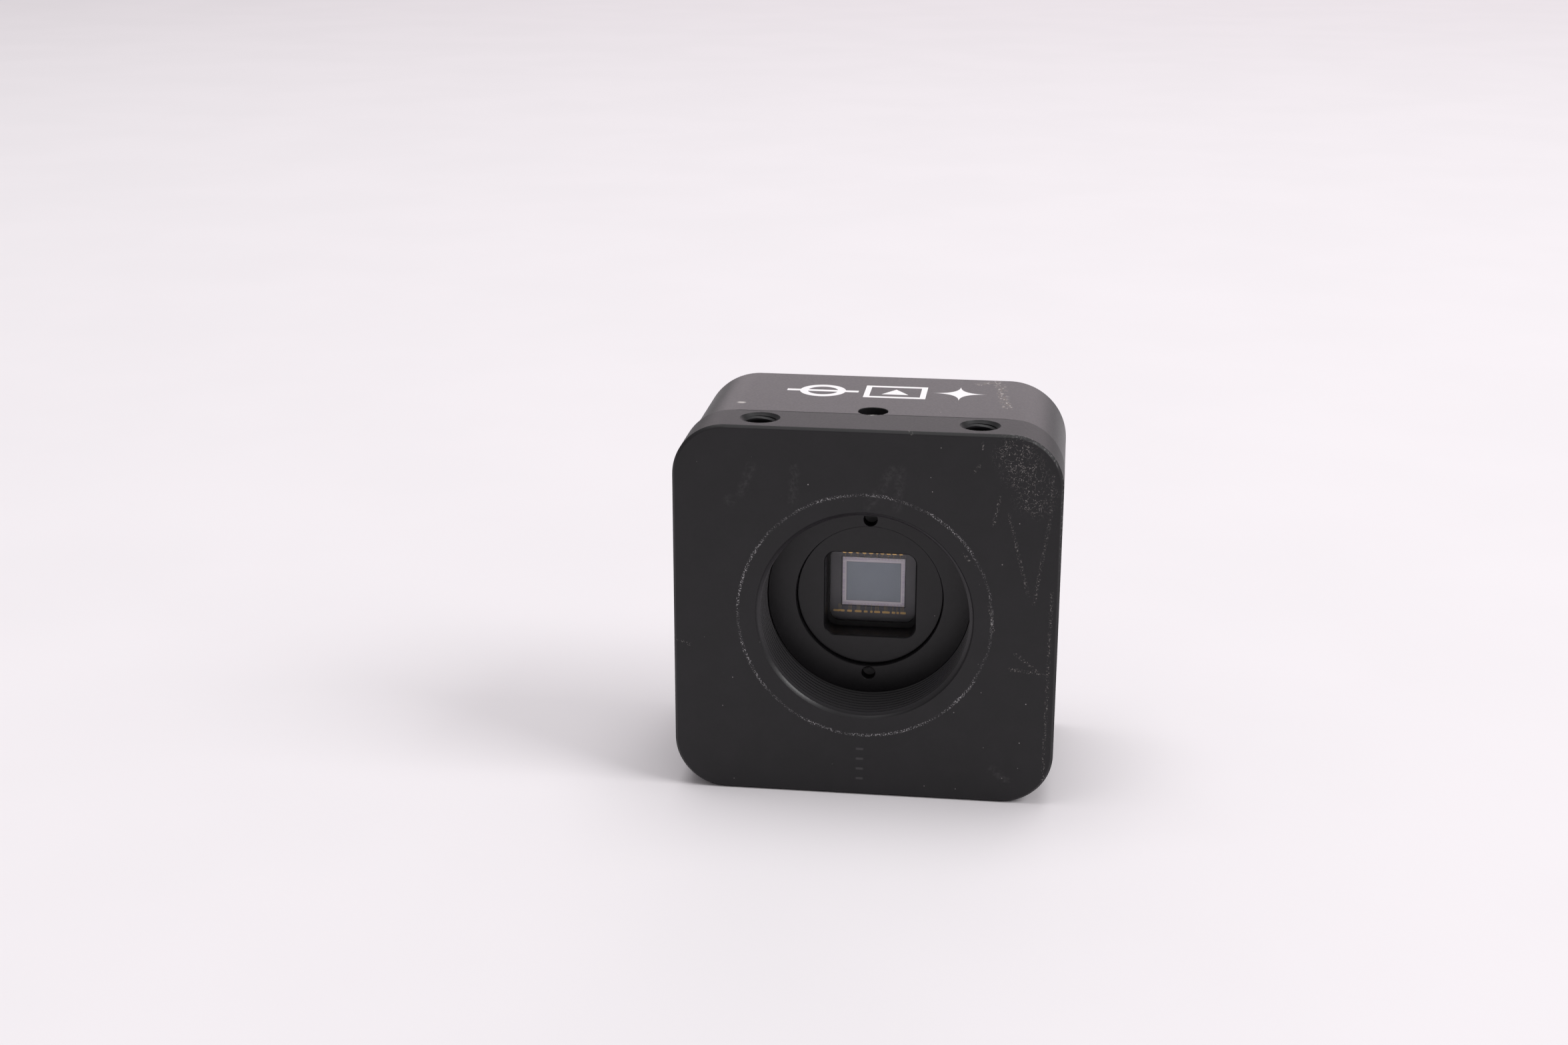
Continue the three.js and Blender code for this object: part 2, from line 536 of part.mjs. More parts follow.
// Sensor board: small circuit board screwed to the back of the sensor plate.
function sensorBoard() {
  const outline = roundedRectangle(SENSOR_BOARD_WIDTH, SENSOR_BOARD_HEIGHT, PLATE_CORNER);
  let body = slab(outline, SENSOR_BOARD_FRONT, SENSOR_BOARD_REAR);
  const start = SENSOR_BOARD_FRONT - CUT;
  const end = SENSOR_BOARD_REAR + CUT;
  for (const [sideX, sideZ] of CORNERS) {
    const radius = SMALL_SCREW_RADIUS + THREAD_GAP;
    body = body.subtract(bar(radius, start, end, sideX * BOARD_SCREW_X, sideZ * BOARD_SCREW_Z, 16));
  }
  return clearOfSpacers(clearOfPosts(body, start, end), start, end);
}
addPart('sensor_board', sensorBoard(), circuit, carriage);

// A cylinder-head screw along the depth: its head stands behind depth 0 and its tip points forward.
function capScrew(length) {
  const body = bar(SMALL_SCREW_RADIUS, -length, THREAD_GAP, 0, 0, 16)
    .add(bar(SMALL_SCREW_HEAD_RADIUS, 0, SMALL_SCREW_HEAD_HEIGHT, 0, 0, 20));
  const driveStart = SMALL_SCREW_HEAD_HEIGHT - DRIVE_LENGTH;
  return body.subtract(bar(DRIVE_RADIUS, driveStart, SMALL_SCREW_HEAD_HEIGHT + CUT, 0, 0, 6));
}
CORNERS.forEach(([sideX, sideZ], index) => {
  const screw = addPart(`sensor_board_screw_${index + 1}`, capScrew(SMALL_SCREW_LENGTH), steel, carriage);
  screw.position.set(sideX * BOARD_SCREW_X, SENSOR_BOARD_REAR + CONTACT_GAP, sideZ * BOARD_SCREW_Z);
});

// Flat-cable connectors on the back of the sensor board and on the front of the main board.
const sensorConnectorStart = SENSOR_BOARD_REAR + CONTACT_GAP;
const sensorConnectorEnd = sensorConnectorStart + CONNECTOR_THICKNESS;
const connectorSize = [CONNECTOR_WIDTH, CONNECTOR_HEIGHT];
const sensorConnector = block(...connectorSize, sensorConnectorStart, sensorConnectorEnd, 0, CONNECTOR_Z);
addPart('sensor_connector', sensorConnector, nylon, carriage);
const mainConnectorEnd = MAIN_BOARD_FRONT - CONTACT_GAP;
const mainConnectorStart = mainConnectorEnd - CONNECTOR_THICKNESS;
const mainConnector = block(...connectorSize, mainConnectorStart, mainConnectorEnd, 0, CONNECTOR_Z);
addPart('main_connector', mainConnector, nylon);

// Flat cable: a strip that hangs in a U below the two connectors, so that the sensor board can move.
function sensorFlex() {
  const frontLeg = SENSOR_BOARD_REAR + FOCUS_TRAVEL + 2 * FLEX_THICKNESS;
  const rearLeg = (mainConnectorStart + mainConnectorEnd) / 2;
  const radius = (rearLeg - frontLeg) / 2;
  const half = FLEX_THICKNESS / 2;
  const top = -CONNECTOR_Z + CONNECTOR_HEIGHT / 2;
  const shape = new THREE.Shape();
  shape.moveTo(-radius - half, top + FOCUS_TRAVEL);
  shape.lineTo(-radius - half, FLEX_REACH);
  shape.absarc(0, FLEX_REACH, radius + half, Math.PI, 0, true);
  shape.lineTo(radius + half, top + CONTACT_GAP);
  shape.lineTo(radius - half, top + CONTACT_GAP);
  shape.lineTo(radius - half, FLEX_REACH);
  shape.absarc(0, FLEX_REACH, radius - half, 0, Math.PI, false);
  shape.lineTo(-radius + half, top + FOCUS_TRAVEL);
  const options = { depth: FLEX_WIDTH, bevelEnabled: false, curveSegments: 12 };
  const strip = new THREE.ExtrudeGeometry(shape, options).translate(0, 0, -FLEX_WIDTH / 2);
  strip.rotateY(Math.PI / 2).rotateX(-Math.PI / 2).rotateY(Math.PI);
  return { strip, middle: (frontLeg + rearLeg) / 2 };
}
const flex = sensorFlex();
const flexMesh = addPart('sensor_flex', solid(flex.strip), polyimide);
flexMesh.position.set(0, flex.middle, 0);

// Main board: fills the case behind the sensor carriage, cut back round the posts.
function mainBoard() {
  const inset = WALL + MAIN_BOARD_MARGIN;
  let body = slab(caseOutline(inset), MAIN_BOARD_FRONT, MAIN_BOARD_REAR);
  for (const [sideX, sideZ] of CORNERS) {
    const place = [MAIN_BOARD_FRONT - CUT, MAIN_BOARD_REAR + CUT, sideX * SPACER_X, sideZ * SPACER_Z, 16];
    body = body.subtract(bar(SMALL_SCREW_RADIUS + THREAD_GAP, ...place));
  }
  return clearOfPosts(body, MAIN_BOARD_FRONT - CUT, MAIN_BOARD_REAR + CUT);
}
addPart('main_board', mainBoard(), circuit);

// Board spacers: hexagonal, with a stud screwed into the front shell and a tapped hole behind.
function boardSpacer() {
  const length = MAIN_BOARD_FRONT - FRONT_THICKNESS - 2 * CONTACT_GAP;
  const body = bar(SPACER_RADIUS, 0, length, 0, 0, 6)
    .add(bar(SMALL_SCREW_RADIUS, -SPACER_STUD_LENGTH, CONTACT_GAP, 0, 0, 16));
  const tap = length - SMALL_SCREW_LENGTH - CONTACT_GAP;
  return body.subtract(bar(SMALL_SCREW_RADIUS + THREAD_GAP, tap, length + CUT, 0, 0, 16));
}
CORNERS.forEach(([sideX, sideZ], index) => {
  const spacer = addPart(`board_spacer_${index + 1}`, boardSpacer(), steel);
  spacer.position.set(sideX * SPACER_X, FRONT_THICKNESS + CONTACT_GAP, sideZ * SPACER_Z);
  const screw = addPart(`main_board_screw_${index + 1}`, capScrew(SMALL_SCREW_LENGTH), steel);
  screw.position.set(sideX * SPACER_X, MAIN_BOARD_SEAT, sideZ * SPACER_Z);
});

// Image processor on the back of the main board, with a gap pad that carries its heat to the rear wall.
const processorEnd = MAIN_BOARD_SEAT + PROCESSOR_THICKNESS;
const processorSize = [PROCESSOR_SIZE, PROCESSOR_SIZE];
addPart('image_processor', block(...processorSize, MAIN_BOARD_SEAT, processorEnd, 0, PROCESSOR_Z), chip);
const padStart = processorEnd + CONTACT_GAP;
const padEnd = INNER_REAR - CONTACT_GAP;
addPart('thermal_pad', block(...processorSize, padStart, padEnd, 0, PROCESSOR_Z), padGrey);

// Frame memory, clock crystal and power inductor on the front of the main board.
function frontComponent(name, { width, height, thickness, x, z }, finish) {
  const end = MAIN_BOARD_FRONT - CONTACT_GAP;
  addPart(name, block(width, height, end - thickness, end, x, z), finish);
}
frontComponent('frame_memory', MEMORY, chip);
frontComponent('clock_crystal', CRYSTAL, steel);
frontComponent('power_inductor', INDUCTOR, darkSteel);

// USB socket: upright Mini-B shell on the main board, with its contact tongue.
function usbSocket() {
  const end = CASE_DEPTH + USB_STAND_OUT;
  const outer = block(USB_WIDTH, USB_HEIGHT, MAIN_BOARD_SEAT, end, USB_X, USB_Z);
  const hollow = [USB_WIDTH - 2 * USB_WALL, USB_HEIGHT - 2 * USB_WALL];
  return outer.subtract(block(...hollow, MAIN_BOARD_SEAT + USB_WALL, end + CUT, USB_X, USB_Z));
}
addPart('usb_socket', usbSocket(), steel);
const tongueStart = MAIN_BOARD_SEAT + USB_WALL + CONTACT_GAP;
const tongueSize = [USB_TONGUE_WIDTH, USB_TONGUE_THICKNESS];
addPart('usb_tongue', block(...tongueSize, tongueStart, CASE_DEPTH - CUT, USB_X, USB_Z), nylon);

// Trigger socket: round panel connector with a flange outside, a nut inside and an insulating insert.
const triggerGroup = new THREE.Group();
triggerGroup.position.set(TRIGGER_X, 0, TRIGGER_Z);
camera.add(triggerGroup);
const triggerStart = MAIN_BOARD_SEAT + LOOSE_GAP;
const flangeStart = CASE_DEPTH + CONTACT_GAP;
const triggerSocket = revolved([
  [TRIGGER_BORE_RADIUS, triggerStart],
  [TRIGGER_RADIUS, triggerStart],
  [TRIGGER_RADIUS, flangeStart],
  [TRIGGER_FLANGE_RADIUS, flangeStart],
  [TRIGGER_FLANGE_RADIUS, OVERALL_DEPTH],
  [TRIGGER_BORE_RADIUS, OVERALL_DEPTH],
], 40);
addPart('trigger_socket', triggerSocket, steel, triggerGroup);
const insertRadius = TRIGGER_BORE_RADIUS - CONTACT_GAP;
const insertEnd = triggerStart + TRIGGER_INSERT_THICKNESS;
addPart('trigger_insert', bar(insertRadius, triggerStart, insertEnd, 0, 0, 40), nylon, triggerGroup);
const nutEnd = INNER_REAR - CONTACT_GAP;
const nutRadius = TRIGGER_NUT_ACROSS_FLATS / Math.sqrt(3);
const triggerNut = bar(nutRadius, nutEnd - TRIGGER_NUT_THICKNESS, nutEnd, 0, 0, 6)
  .subtract(bar(TRIGGER_RADIUS + THREAD_GAP, nutEnd - TRIGGER_NUT_THICKNESS - CUT, nutEnd + CUT, 0, 0, 40));
addPart('trigger_nut', triggerNut, steel, triggerGroup);

// Status light: a small lamp on the main board and a clear pipe through the rear wall.
const lampEnd = MAIN_BOARD_SEAT + LAMP_THICKNESS;
const lamp = block(LAMP_WIDTH, LAMP_HEIGHT, MAIN_BOARD_SEAT, lampEnd, 0, LIGHT_PIPE_Z);
addPart('status_lamp', lamp, clear);
addPart('light_pipe', bar(LIGHT_PIPE_RADIUS, lampEnd + SLIDING_GAP, CASE_DEPTH, 0, LIGHT_PIPE_Z), clear);

const group = camera;
export default group;
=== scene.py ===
import math

import bmesh
import bpy
from mathutils import Matrix, Vector


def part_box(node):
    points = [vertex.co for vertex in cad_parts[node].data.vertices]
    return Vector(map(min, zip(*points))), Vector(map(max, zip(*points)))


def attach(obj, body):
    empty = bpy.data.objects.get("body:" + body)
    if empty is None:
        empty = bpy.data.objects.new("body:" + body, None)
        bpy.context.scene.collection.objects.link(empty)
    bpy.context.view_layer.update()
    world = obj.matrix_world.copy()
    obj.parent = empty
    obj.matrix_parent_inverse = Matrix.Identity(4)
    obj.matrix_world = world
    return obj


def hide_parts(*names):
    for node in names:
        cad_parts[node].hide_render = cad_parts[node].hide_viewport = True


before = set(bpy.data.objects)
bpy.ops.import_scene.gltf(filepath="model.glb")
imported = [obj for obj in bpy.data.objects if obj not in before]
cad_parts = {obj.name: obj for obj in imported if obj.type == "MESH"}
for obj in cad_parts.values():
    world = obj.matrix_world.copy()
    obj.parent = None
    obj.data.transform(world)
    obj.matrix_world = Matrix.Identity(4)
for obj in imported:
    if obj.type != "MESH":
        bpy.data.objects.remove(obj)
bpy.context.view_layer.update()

# Table: a pale paper surface that the camera stands on, lit like a small studio.
# One soft panel stands to the front right, one hangs overhead, and a bright screen stands far behind.


def deselect():
    bpy.ops.object.select_all(action="DESELECT")


def new_material(name):
    material = bpy.data.materials.new(name)
    material.use_nodes = True
    tree = material.node_tree
    return material, tree, tree.nodes["Principled BSDF"]


def object_place(tree):
    """The point's place in the object's frame, in millimetres."""
    source = tree.nodes.new("ShaderNodeTexCoord").outputs["Object"]
    return vector_math(tree, "SCALE", source, scale=1000)


def vector_math(tree, operation, first, second=(0, 0, 0), scale=1.0, result="Vector"):
    node = tree.nodes.new("ShaderNodeVectorMath")
    node.operation = operation
    for socket, value in zip(node.inputs, (first, second)):
        if isinstance(value, bpy.types.NodeSocket):
            tree.links.new(value, socket)
        else:
            socket.default_value = value
    if isinstance(scale, bpy.types.NodeSocket):
        tree.links.new(scale, node.inputs["Scale"])
    elif operation == "SCALE":
        node.inputs["Scale"].default_value = scale
    return node.outputs[result]


def maths(tree, operation, *values):
    node = tree.nodes.new("ShaderNodeMath")
    node.operation = operation
    for socket, value in zip(node.inputs, values):
        if isinstance(value, bpy.types.NodeSocket):
            tree.links.new(value, socket)
        else:
            socket.default_value = value
    return node.outputs[0]


def between(tree, value, none, full):
    """Rises smoothly from 0 to 1 as the value goes from none to full, whichever of them is larger."""
    node = tree.nodes.new("ShaderNodeMapRange")
    node.interpolation_type = "SMOOTHSTEP"
    tree.links.new(value, node.inputs["Value"])
    node.inputs["From Min"].default_value = none
    node.inputs["From Max"].default_value = full
    return node.outputs["Result"]


def noise(tree, place, scale, detail=2.0, roughness=0.5):
    node = tree.nodes.new("ShaderNodeTexNoise")
    tree.links.new(place, node.inputs["Vector"])
    node.inputs["Scale"].default_value = scale
    node.inputs["Detail"].default_value = detail
    node.inputs["Roughness"].default_value = roughness
    return node.outputs["Fac"]


def tint(tree, factor, below, above):
    """A colour that goes from below to above as the factor goes from 0 to 1."""
    node = tree.nodes.new("ShaderNodeMix")
    node.data_type = "RGBA"
    for socket, value in ((node.inputs[0], factor), (node.inputs[6], below), (node.inputs[7], above)):
        if isinstance(value, bpy.types.NodeSocket):
            tree.links.new(value, socket)
        else:
            socket.default_value = (*value, 1)
    return node.outputs[2]


def relief(tree, shader, height, distance, strength=1.0):
    """Raises the surface by up to a distance in millimetres, where the height is 1."""
    node = tree.nodes.new("ShaderNodeBump")
    node.inputs["Strength"].default_value = strength
    node.inputs["Distance"].default_value = distance / 1000
    tree.links.new(height, node.inputs["Height"])
    tree.links.new(node.outputs["Normal"], shader.inputs["Normal"])


deselect()
bpy.ops.mesh.primitive_plane_add(size=6, location=(0, 0, 0))
table = bpy.context.active_object
table.name = "table"
paper, tree, shader = new_material("table_paper")
place = object_place(tree)
mottle = between(tree, noise(tree, place, 0.02, 3), 0.3, 0.7)
paper_tone = tint(tree, mottle, (0.845, 0.812, 0.838), (0.86, 0.825, 0.852))
tree.links.new(paper_tone, shader.inputs["Base Color"])
shader.inputs["Roughness"].default_value = 0.9
relief(tree, shader, noise(tree, place, 1.2, 3), 0.05, 0.2)
table.data.materials.append(paper)

bpy.context.scene.view_settings.view_transform = "Standard"
room = bpy.data.worlds.new("studio")
room.use_nodes = True
room.node_tree.nodes["Background"].inputs["Color"].default_value = (1, 0.975, 0.99, 1)
room.node_tree.nodes["Background"].inputs["Strength"].default_value = 0.34
bpy.context.scene.world = room


def add_panel(name, place, size, power, colour=(1, 1, 1)):
    """A soft panel that faces the object; its size is its width and height in metres."""
    bpy.ops.object.light_add(type="AREA", location=place)
    panel = bpy.context.active_object
    panel.name = name
    panel.data.shape = "RECTANGLE"
    panel.data.size = size[0]
    panel.data.size_y = size[1]
    panel.data.energy = power
    panel.data.color = colour
    panel.visible_camera = False
    aim = Vector((0, 0, 0.02)) - Vector(place)
    panel.rotation_euler = aim.to_track_quat("-Z", "Y").to_euler()


add_panel("right_panel", (1.5, -0.42, 1.3), (1.0, 1.0), 18.5)
add_panel("top_panel", (-0.1, 0.2, 1.9), (1.6, 1.0), 19.0)
add_panel("back_screen", (0.1, 2.1, 0.6), (2.0, 0.6), 7.0, (1, 0.88, 0.94))

bpy.ops.object.camera_add(location=(0.02176, -0.25399, 0.11229))
viewpoint = bpy.context.active_object
viewpoint.rotation_euler = (math.radians(72.09), math.radians(-0.12), math.radians(7.41))
viewpoint.data.sensor_width = 36
viewpoint.data.lens = 50.79
viewpoint.data.clip_start = 0.005
viewpoint.data.clip_end = 20
bpy.context.scene.camera = viewpoint

# Front shell: a square plate milled from aluminium, with the 1 inch - 32 lens thread through its boss,
# a locating lip, four posts for the case screws and two tapped holes in its top edge.
# It is bead-blasted, anodised matt black and has picked up dust and rubs in use.
shell_low, shell_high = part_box("front_shell")
FACE = shell_low[1]
AXIS = (shell_low[2] + shell_high[2]) / 2
WIDTH = 45
HEIGHT = 45.2
PLATE_BACK = 6.9
PLATE_CORNER = 6.2
CASE_CORNER = 7.1
BOSS_RADIUS = 15
BOSS_BACK = 10.2
POST_X = 17.04
POST_Z = 17.14
POST_BACK = 22.98
SPACER_X = 9
SPACER_Z = 17.04
TAP_X = 12.7
TAP_DEPTH = 3.8
LOCK_DEPTH = 8.35
THREAD_ROOT = 12.25
THREAD_CREST = 12.7
THREAD_PITCH = 0.79375
ALONG = (0, 1, 0)
UP = (0, 0, 1)
MANY = 96
CORNERS = ((-1, 1), (1, 1), (-1, -1), (1, -1))
LIP_INSET = 2.08
ROOM_INSET = 3.28
LIP_BACK = 8.4
PIN_X = 13.625


def at(x, depth, z):
    """A place in metres, from millimetres right of the axis, behind the front face and above the axis."""
    return Vector((x / 1000, FACE + depth / 1000, AXIS + z / 1000))


def select_only(piece):
    deselect()
    piece.select_set(True)
    bpy.context.view_layer.objects.active = piece


def settle(piece):
    """Moves the piece's place, turn and size into its mesh."""
    select_only(piece)
    bpy.ops.object.transform_apply(location=True, rotation=True, scale=True)


def apply_all(piece):
    select_only(piece)
    for modifier in list(piece.modifiers):
        bpy.ops.object.modifier_apply(modifier=modifier.name)


def runs_back(edge):
    """Whether an edge runs along the lens axis."""
    return abs((edge.verts[0].co - edge.verts[1].co).normalized().y) > 0.9


def pick(piece, test):
    """In edit mode, selects only the edges that pass a test."""
    bpy.ops.mesh.select_mode(type="EDGE")
    bpy.ops.mesh.select_all(action="DESELECT")
    for edge in bmesh.from_edit_mesh(piece.data).edges:
        if test(edge):
            edge.select_set(True)
    bmesh.update_edit_mesh(piece.data)


def long_block(name, size, start, end, corner=0.0, x=0.0, z=0.0, segments=20):
    """A block of a width and height, from a start to an end depth, with its four long edges rounded."""
    deselect()
    bpy.ops.mesh.primitive_cube_add(size=1, location=at(x, (start + end) / 2, z))
    piece = bpy.context.active_object
    piece.name = name
    piece.scale = (size[0] / 1000, (end - start) / 1000, size[1] / 1000)
    settle(piece)
    if corner:
        bpy.ops.object.mode_set(mode="EDIT")
        pick(piece, runs_back)
        bpy.ops.mesh.bevel(offset=corner / 1000, segments=segments, affect="EDGES")
        bpy.ops.object.mode_set(mode="OBJECT")
    return piece


def chamfer_end(piece, depth, width, segments=1):
    """Bevels the outline that a piece has at a depth."""
    level = at(0, depth, 0).y
    select_only(piece)
    bpy.ops.object.mode_set(mode="EDIT")
    pick(piece, lambda edge: all(abs(point.co.y - level) < 1e-6 for point in edge.verts))
    bpy.ops.mesh.bevel(offset=width / 1000, segments=segments, affect="EDGES")
    bpy.ops.object.mode_set(mode="OBJECT")


def section(name, corners, place, axis, closed=True):
    """A flat outline beside an axis: corners are millimetres out from the axis and along it."""
    deselect()
    bpy.ops.mesh.primitive_circle_add(vertices=len(corners), radius=0.001, location=place)
    outline = bpy.context.active_object
    outline.name = name
    for point, (out, along) in zip(outline.data.vertices, corners):
        point.co = Vector((out, 0, 0)) / 1000 + Vector(axis) * along / 1000
    if not closed:
        ends = {0, len(corners) - 1}
        bpy.ops.object.mode_set(mode="EDIT")
        pick(outline, lambda edge: {point.index for point in edge.verts} == ends)
        bpy.ops.mesh.delete(type="EDGE")
        bpy.ops.object.mode_set(mode="OBJECT")
    return outline


def close_up(piece):
    """Merges the points that meet and turns all faces outwards."""
    select_only(piece)
    bpy.ops.object.mode_set(mode="EDIT")
    bpy.ops.mesh.select_all(action="SELECT")
    bpy.ops.mesh.remove_doubles(threshold=2e-7)
    bpy.ops.mesh.normals_make_consistent(inside=False)
    bpy.ops.object.mode_set(mode="OBJECT")


def turned(name, corners, place, axis, steps=48):
    """A lathe-turned piece: a closed outline spun once round its axis."""
    piece = section(name, corners, place, axis)
    bpy.ops.object.mode_set(mode="EDIT")
    bpy.ops.mesh.select_all(action="SELECT")
    bpy.ops.mesh.spin(steps=steps, angle=math.tau, center=place, axis=axis)
    bpy.ops.object.mode_set(mode="OBJECT")
    close_up(piece)
    settle(piece)
    return piece


def thread_rod(name, root, crest, pitch, length, place, axis, steps=48):
    """A closed male thread that runs from a place along an axis: the shape of a tap or a screw."""
    flank = (crest - root) * math.tan(math.radians(30))
    land = pitch / 8
    start = -2 * pitch
    corners = [(root, start), (root, start + pitch - 2 * flank - land),
               (crest, start + pitch - flank - land), (crest, start + pitch - flank), (root, start + pitch)]
    rod = section(name, corners, place, axis, closed=False)
    winding = rod.modifiers.new("winding", "SCREW")
    winding.axis = "Y" if abs(axis[1]) > 0.5 else "Z"
    winding.screw_offset = pitch / 1000
    winding.steps = steps
    winding.render_steps = steps
    winding.iterations = math.ceil(length / pitch) + 4
    apply_all(rod)
    close_up(rod)
    settle(rod)
    bpy.ops.object.mode_set(mode="EDIT")
    far = Vector(place) + Vector(axis) * length / 1000
    bpy.ops.mesh.select_all(action="SELECT")
    bpy.ops.mesh.bisect(plane_co=place, plane_no=axis, use_fill=True, clear_inner=True)
    bpy.ops.mesh.select_all(action="SELECT")
    bpy.ops.mesh.bisect(plane_co=far, plane_no=axis, use_fill=True, clear_outer=True)
    bpy.ops.object.mode_set(mode="OBJECT")
    close_up(rod)
    return rod


def combine(body, other, operation="DIFFERENCE"):
    """Cuts one closed piece out of another, or joins it to it. The other piece is used up."""
    cut = body.modifiers.new("cut", "BOOLEAN")
    cut.operation = operation
    cut.object = other
    cut.solver = "EXACT"
    apply_all(body)
    bpy.data.objects.remove(other)


def soften(piece, width, segments=2, angle=35):
    """Breaks the sharp edges, as a deburring tool does."""
    edge = piece.modifiers.new("edge", "BEVEL")
    edge.width = width / 1000
    edge.segments = segments
    edge.limit_method = "ANGLE"
    edge.angle_limit = math.radians(angle)
    edge.harden_normals = False
    apply_all(piece)


def smooth(piece, angle=32):
    """Shades curved faces smoothly and keeps flat faces flat."""
    select_only(piece)
    bpy.ops.object.shade_smooth_by_angle(angle=math.radians(angle))
    even = piece.modifiers.new("even", "WEIGHTED_NORMAL")
    even.keep_sharp = True
    apply_all(piece)


def hand_over(piece, body, slot, material, *nodes):
    """Gives a finished piece its material and body, and hides the CAD nodes that it stands for. The slot is
    not used.
    """
    piece.data.materials.clear()
    piece.data.materials.append(material)
    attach(piece, body)
    if nodes:
        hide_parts(*nodes)


front = long_block("front_shell_machined", (WIDTH, HEIGHT), 0, PLATE_BACK, PLATE_CORNER, segments=28)
chamfer_end(front, 0, 0.32)
soften(front, 0.05)
lip_size = (WIDTH - 2 * LIP_INSET, HEIGHT - 2 * LIP_INSET)
lip = long_block("lip", lip_size, PLATE_BACK - 1, LIP_BACK, CASE_CORNER - LIP_INSET)
room_size = (WIDTH - 2 * ROOM_INSET, HEIGHT - 2 * ROOM_INSET)
combine(lip, long_block("room", room_size, PLATE_BACK, LIP_BACK + 1, CASE_CORNER - ROOM_INSET))
combine(front, lip, "UNION")
boss_corners = [(0, 5.9), (BOSS_RADIUS, 5.9), (BOSS_RADIUS, 10), (14.8, BOSS_BACK), (0, BOSS_BACK)]
combine(front, turned("boss", boss_corners, at(0, 0, 0), ALONG, MANY), "UNION")
for side, level in CORNERS:
    corner = at(side * POST_X, 0, level * POST_Z)
    spacer = at(side * SPACER_X, 0, level * SPACER_Z)
    clear = [(0, PLATE_BACK), (2.28, PLATE_BACK), (2.28, 12), (0, 12)]
    combine(front, turned("clear", clear, spacer, ALONG, 32))
    post = turned("post", [(0, 5.9), (2.7, 5.9), (2.7, POST_BACK), (0, POST_BACK)], corner, ALONG, 32)
    combine(front, post, "UNION")
    combine(front, turned("tap", [(0, 16), (1.25, 16), (1.25, 24), (0, 24)], corner, ALONG, 24))
    combine(front, turned("stud", [(0, 3.88), (1, 3.88), (1, 12), (0, 12)], spacer, ALONG, 24))
mouth = [(0, -1), (THREAD_CREST + 0.1, -1), (THREAD_CREST + 0.1, 0), (THREAD_CREST + 0.03, 0.08),
         (THREAD_ROOT + 0.02, 0.55), (0, 0.55)]
tap_start = at(0, -1, 0)
tap_length = BOSS_BACK + 2
lens_tap = thread_rod("lens_tap", THREAD_ROOT, THREAD_CREST, THREAD_PITCH, tap_length, tap_start,
                      ALONG, MANY)
combine(front, lens_tap)
combine(front, turned("mouth", mouth, at(0, 0, 0), ALONG, MANY))
for side in (-1, 1):
    top = at(side * TAP_X, TAP_DEPTH, HEIGHT / 2)
    combine(front, thread_rod("hole_tap", 1.72, 2.05, 0.7, 6, top + Vector((0, 0, -0.0052)), UP))
    sink = [(0, 1), (2.37, 1), (2.37, 0.02), (2.31, -0.06), (1.8, -0.55), (0, -0.55)]
    combine(front, turned("hole_mouth", sink, top, UP, 64))
    pin = at(side * PIN_X, 0, 0)
    combine(front, turned("pin_hole", [(0, 8), (0.85, 8), (0.85, 11), (0, 11)], pin, ALONG, 24))
lock_bore = turned("lock_bore", [(0, 0), (1.5, 0), (1.5, 16), (0, 16)], at(0, LOCK_DEPTH, 0), UP, 40)
combine(front, lock_bore)
access = [(0, -8), (1.75, -8), (1.75, -0.06), (1.81, 0), (1.81, 1), (0, 1)]
combine(front, turned("access", access, at(0, LOCK_DEPTH, HEIGHT / 2), UP, 48))
combine(front, long_block("lip_notch", (4.3, 4.28), PLATE_BACK, LIP_BACK + 1, z=HEIGHT / 2 - 2.14))
smooth(front)


def times(tree, first, second):
    return maths(tree, "MULTIPLY", first, second)


def size_of(tree, value):
    return maths(tree, "ABSOLUTE", value)


def anodised(name, tone=(0.0062, 0.0055, 0.0068), gloss=0.38):
    """Bead-blasted black anodising: fine grain, slight mottling and a scatter of dust.
    Returns the material, its tree, its shader, the place in millimetres and the colour so far."""
    material, tree, shader = new_material(name)
    shader.inputs["Metallic"].default_value = 0
    shader.inputs["IOR"].default_value = 1.44
    place = object_place(tree)
    mottle = between(tree, noise(tree, place, 0.3, 4), 0.35, 0.7)
    colour = tint(tree, mottle, tone, [value * 1.3 for value in tone])
    cells = tree.nodes.new("ShaderNodeTexVoronoi")
    tree.links.new(place, cells.inputs["Vector"])
    cells.inputs["Scale"].default_value = 0.62
    fleck = between(tree, cells.outputs["Distance"], 0.055, 0.03)
    draw = vector_math(tree, "DOT_PRODUCT", cells.outputs["Color"], (1, 1, 1), result="Value")
    chance = between(tree, draw, 1.9, 2.3)
    colour = tint(tree, times(tree, fleck, chance), colour, (0.32, 0.3, 0.3))
    rough = between(tree, noise(tree, place, 3.5, 3), 0.2, 0.8)
    rough = maths(tree, "MULTIPLY_ADD", rough, 0.05, gloss)
    tree.links.new(rough, shader.inputs["Roughness"])
    return material, tree, shader, place, colour


def finish_anodised(tree, shader, place, colour, extra_height=None):
    """Joins the colour to the shader and adds the blasted grain, with any damage on top."""
    tree.links.new(colour, shader.inputs["Base Color"])
    height = noise(tree, place, 16, 2)
    if extra_height is not None:
        height = maths(tree, "MULTIPLY_ADD", extra_height, 6.0, height)
    relief(tree, shader, height, 0.0035, 0.6)


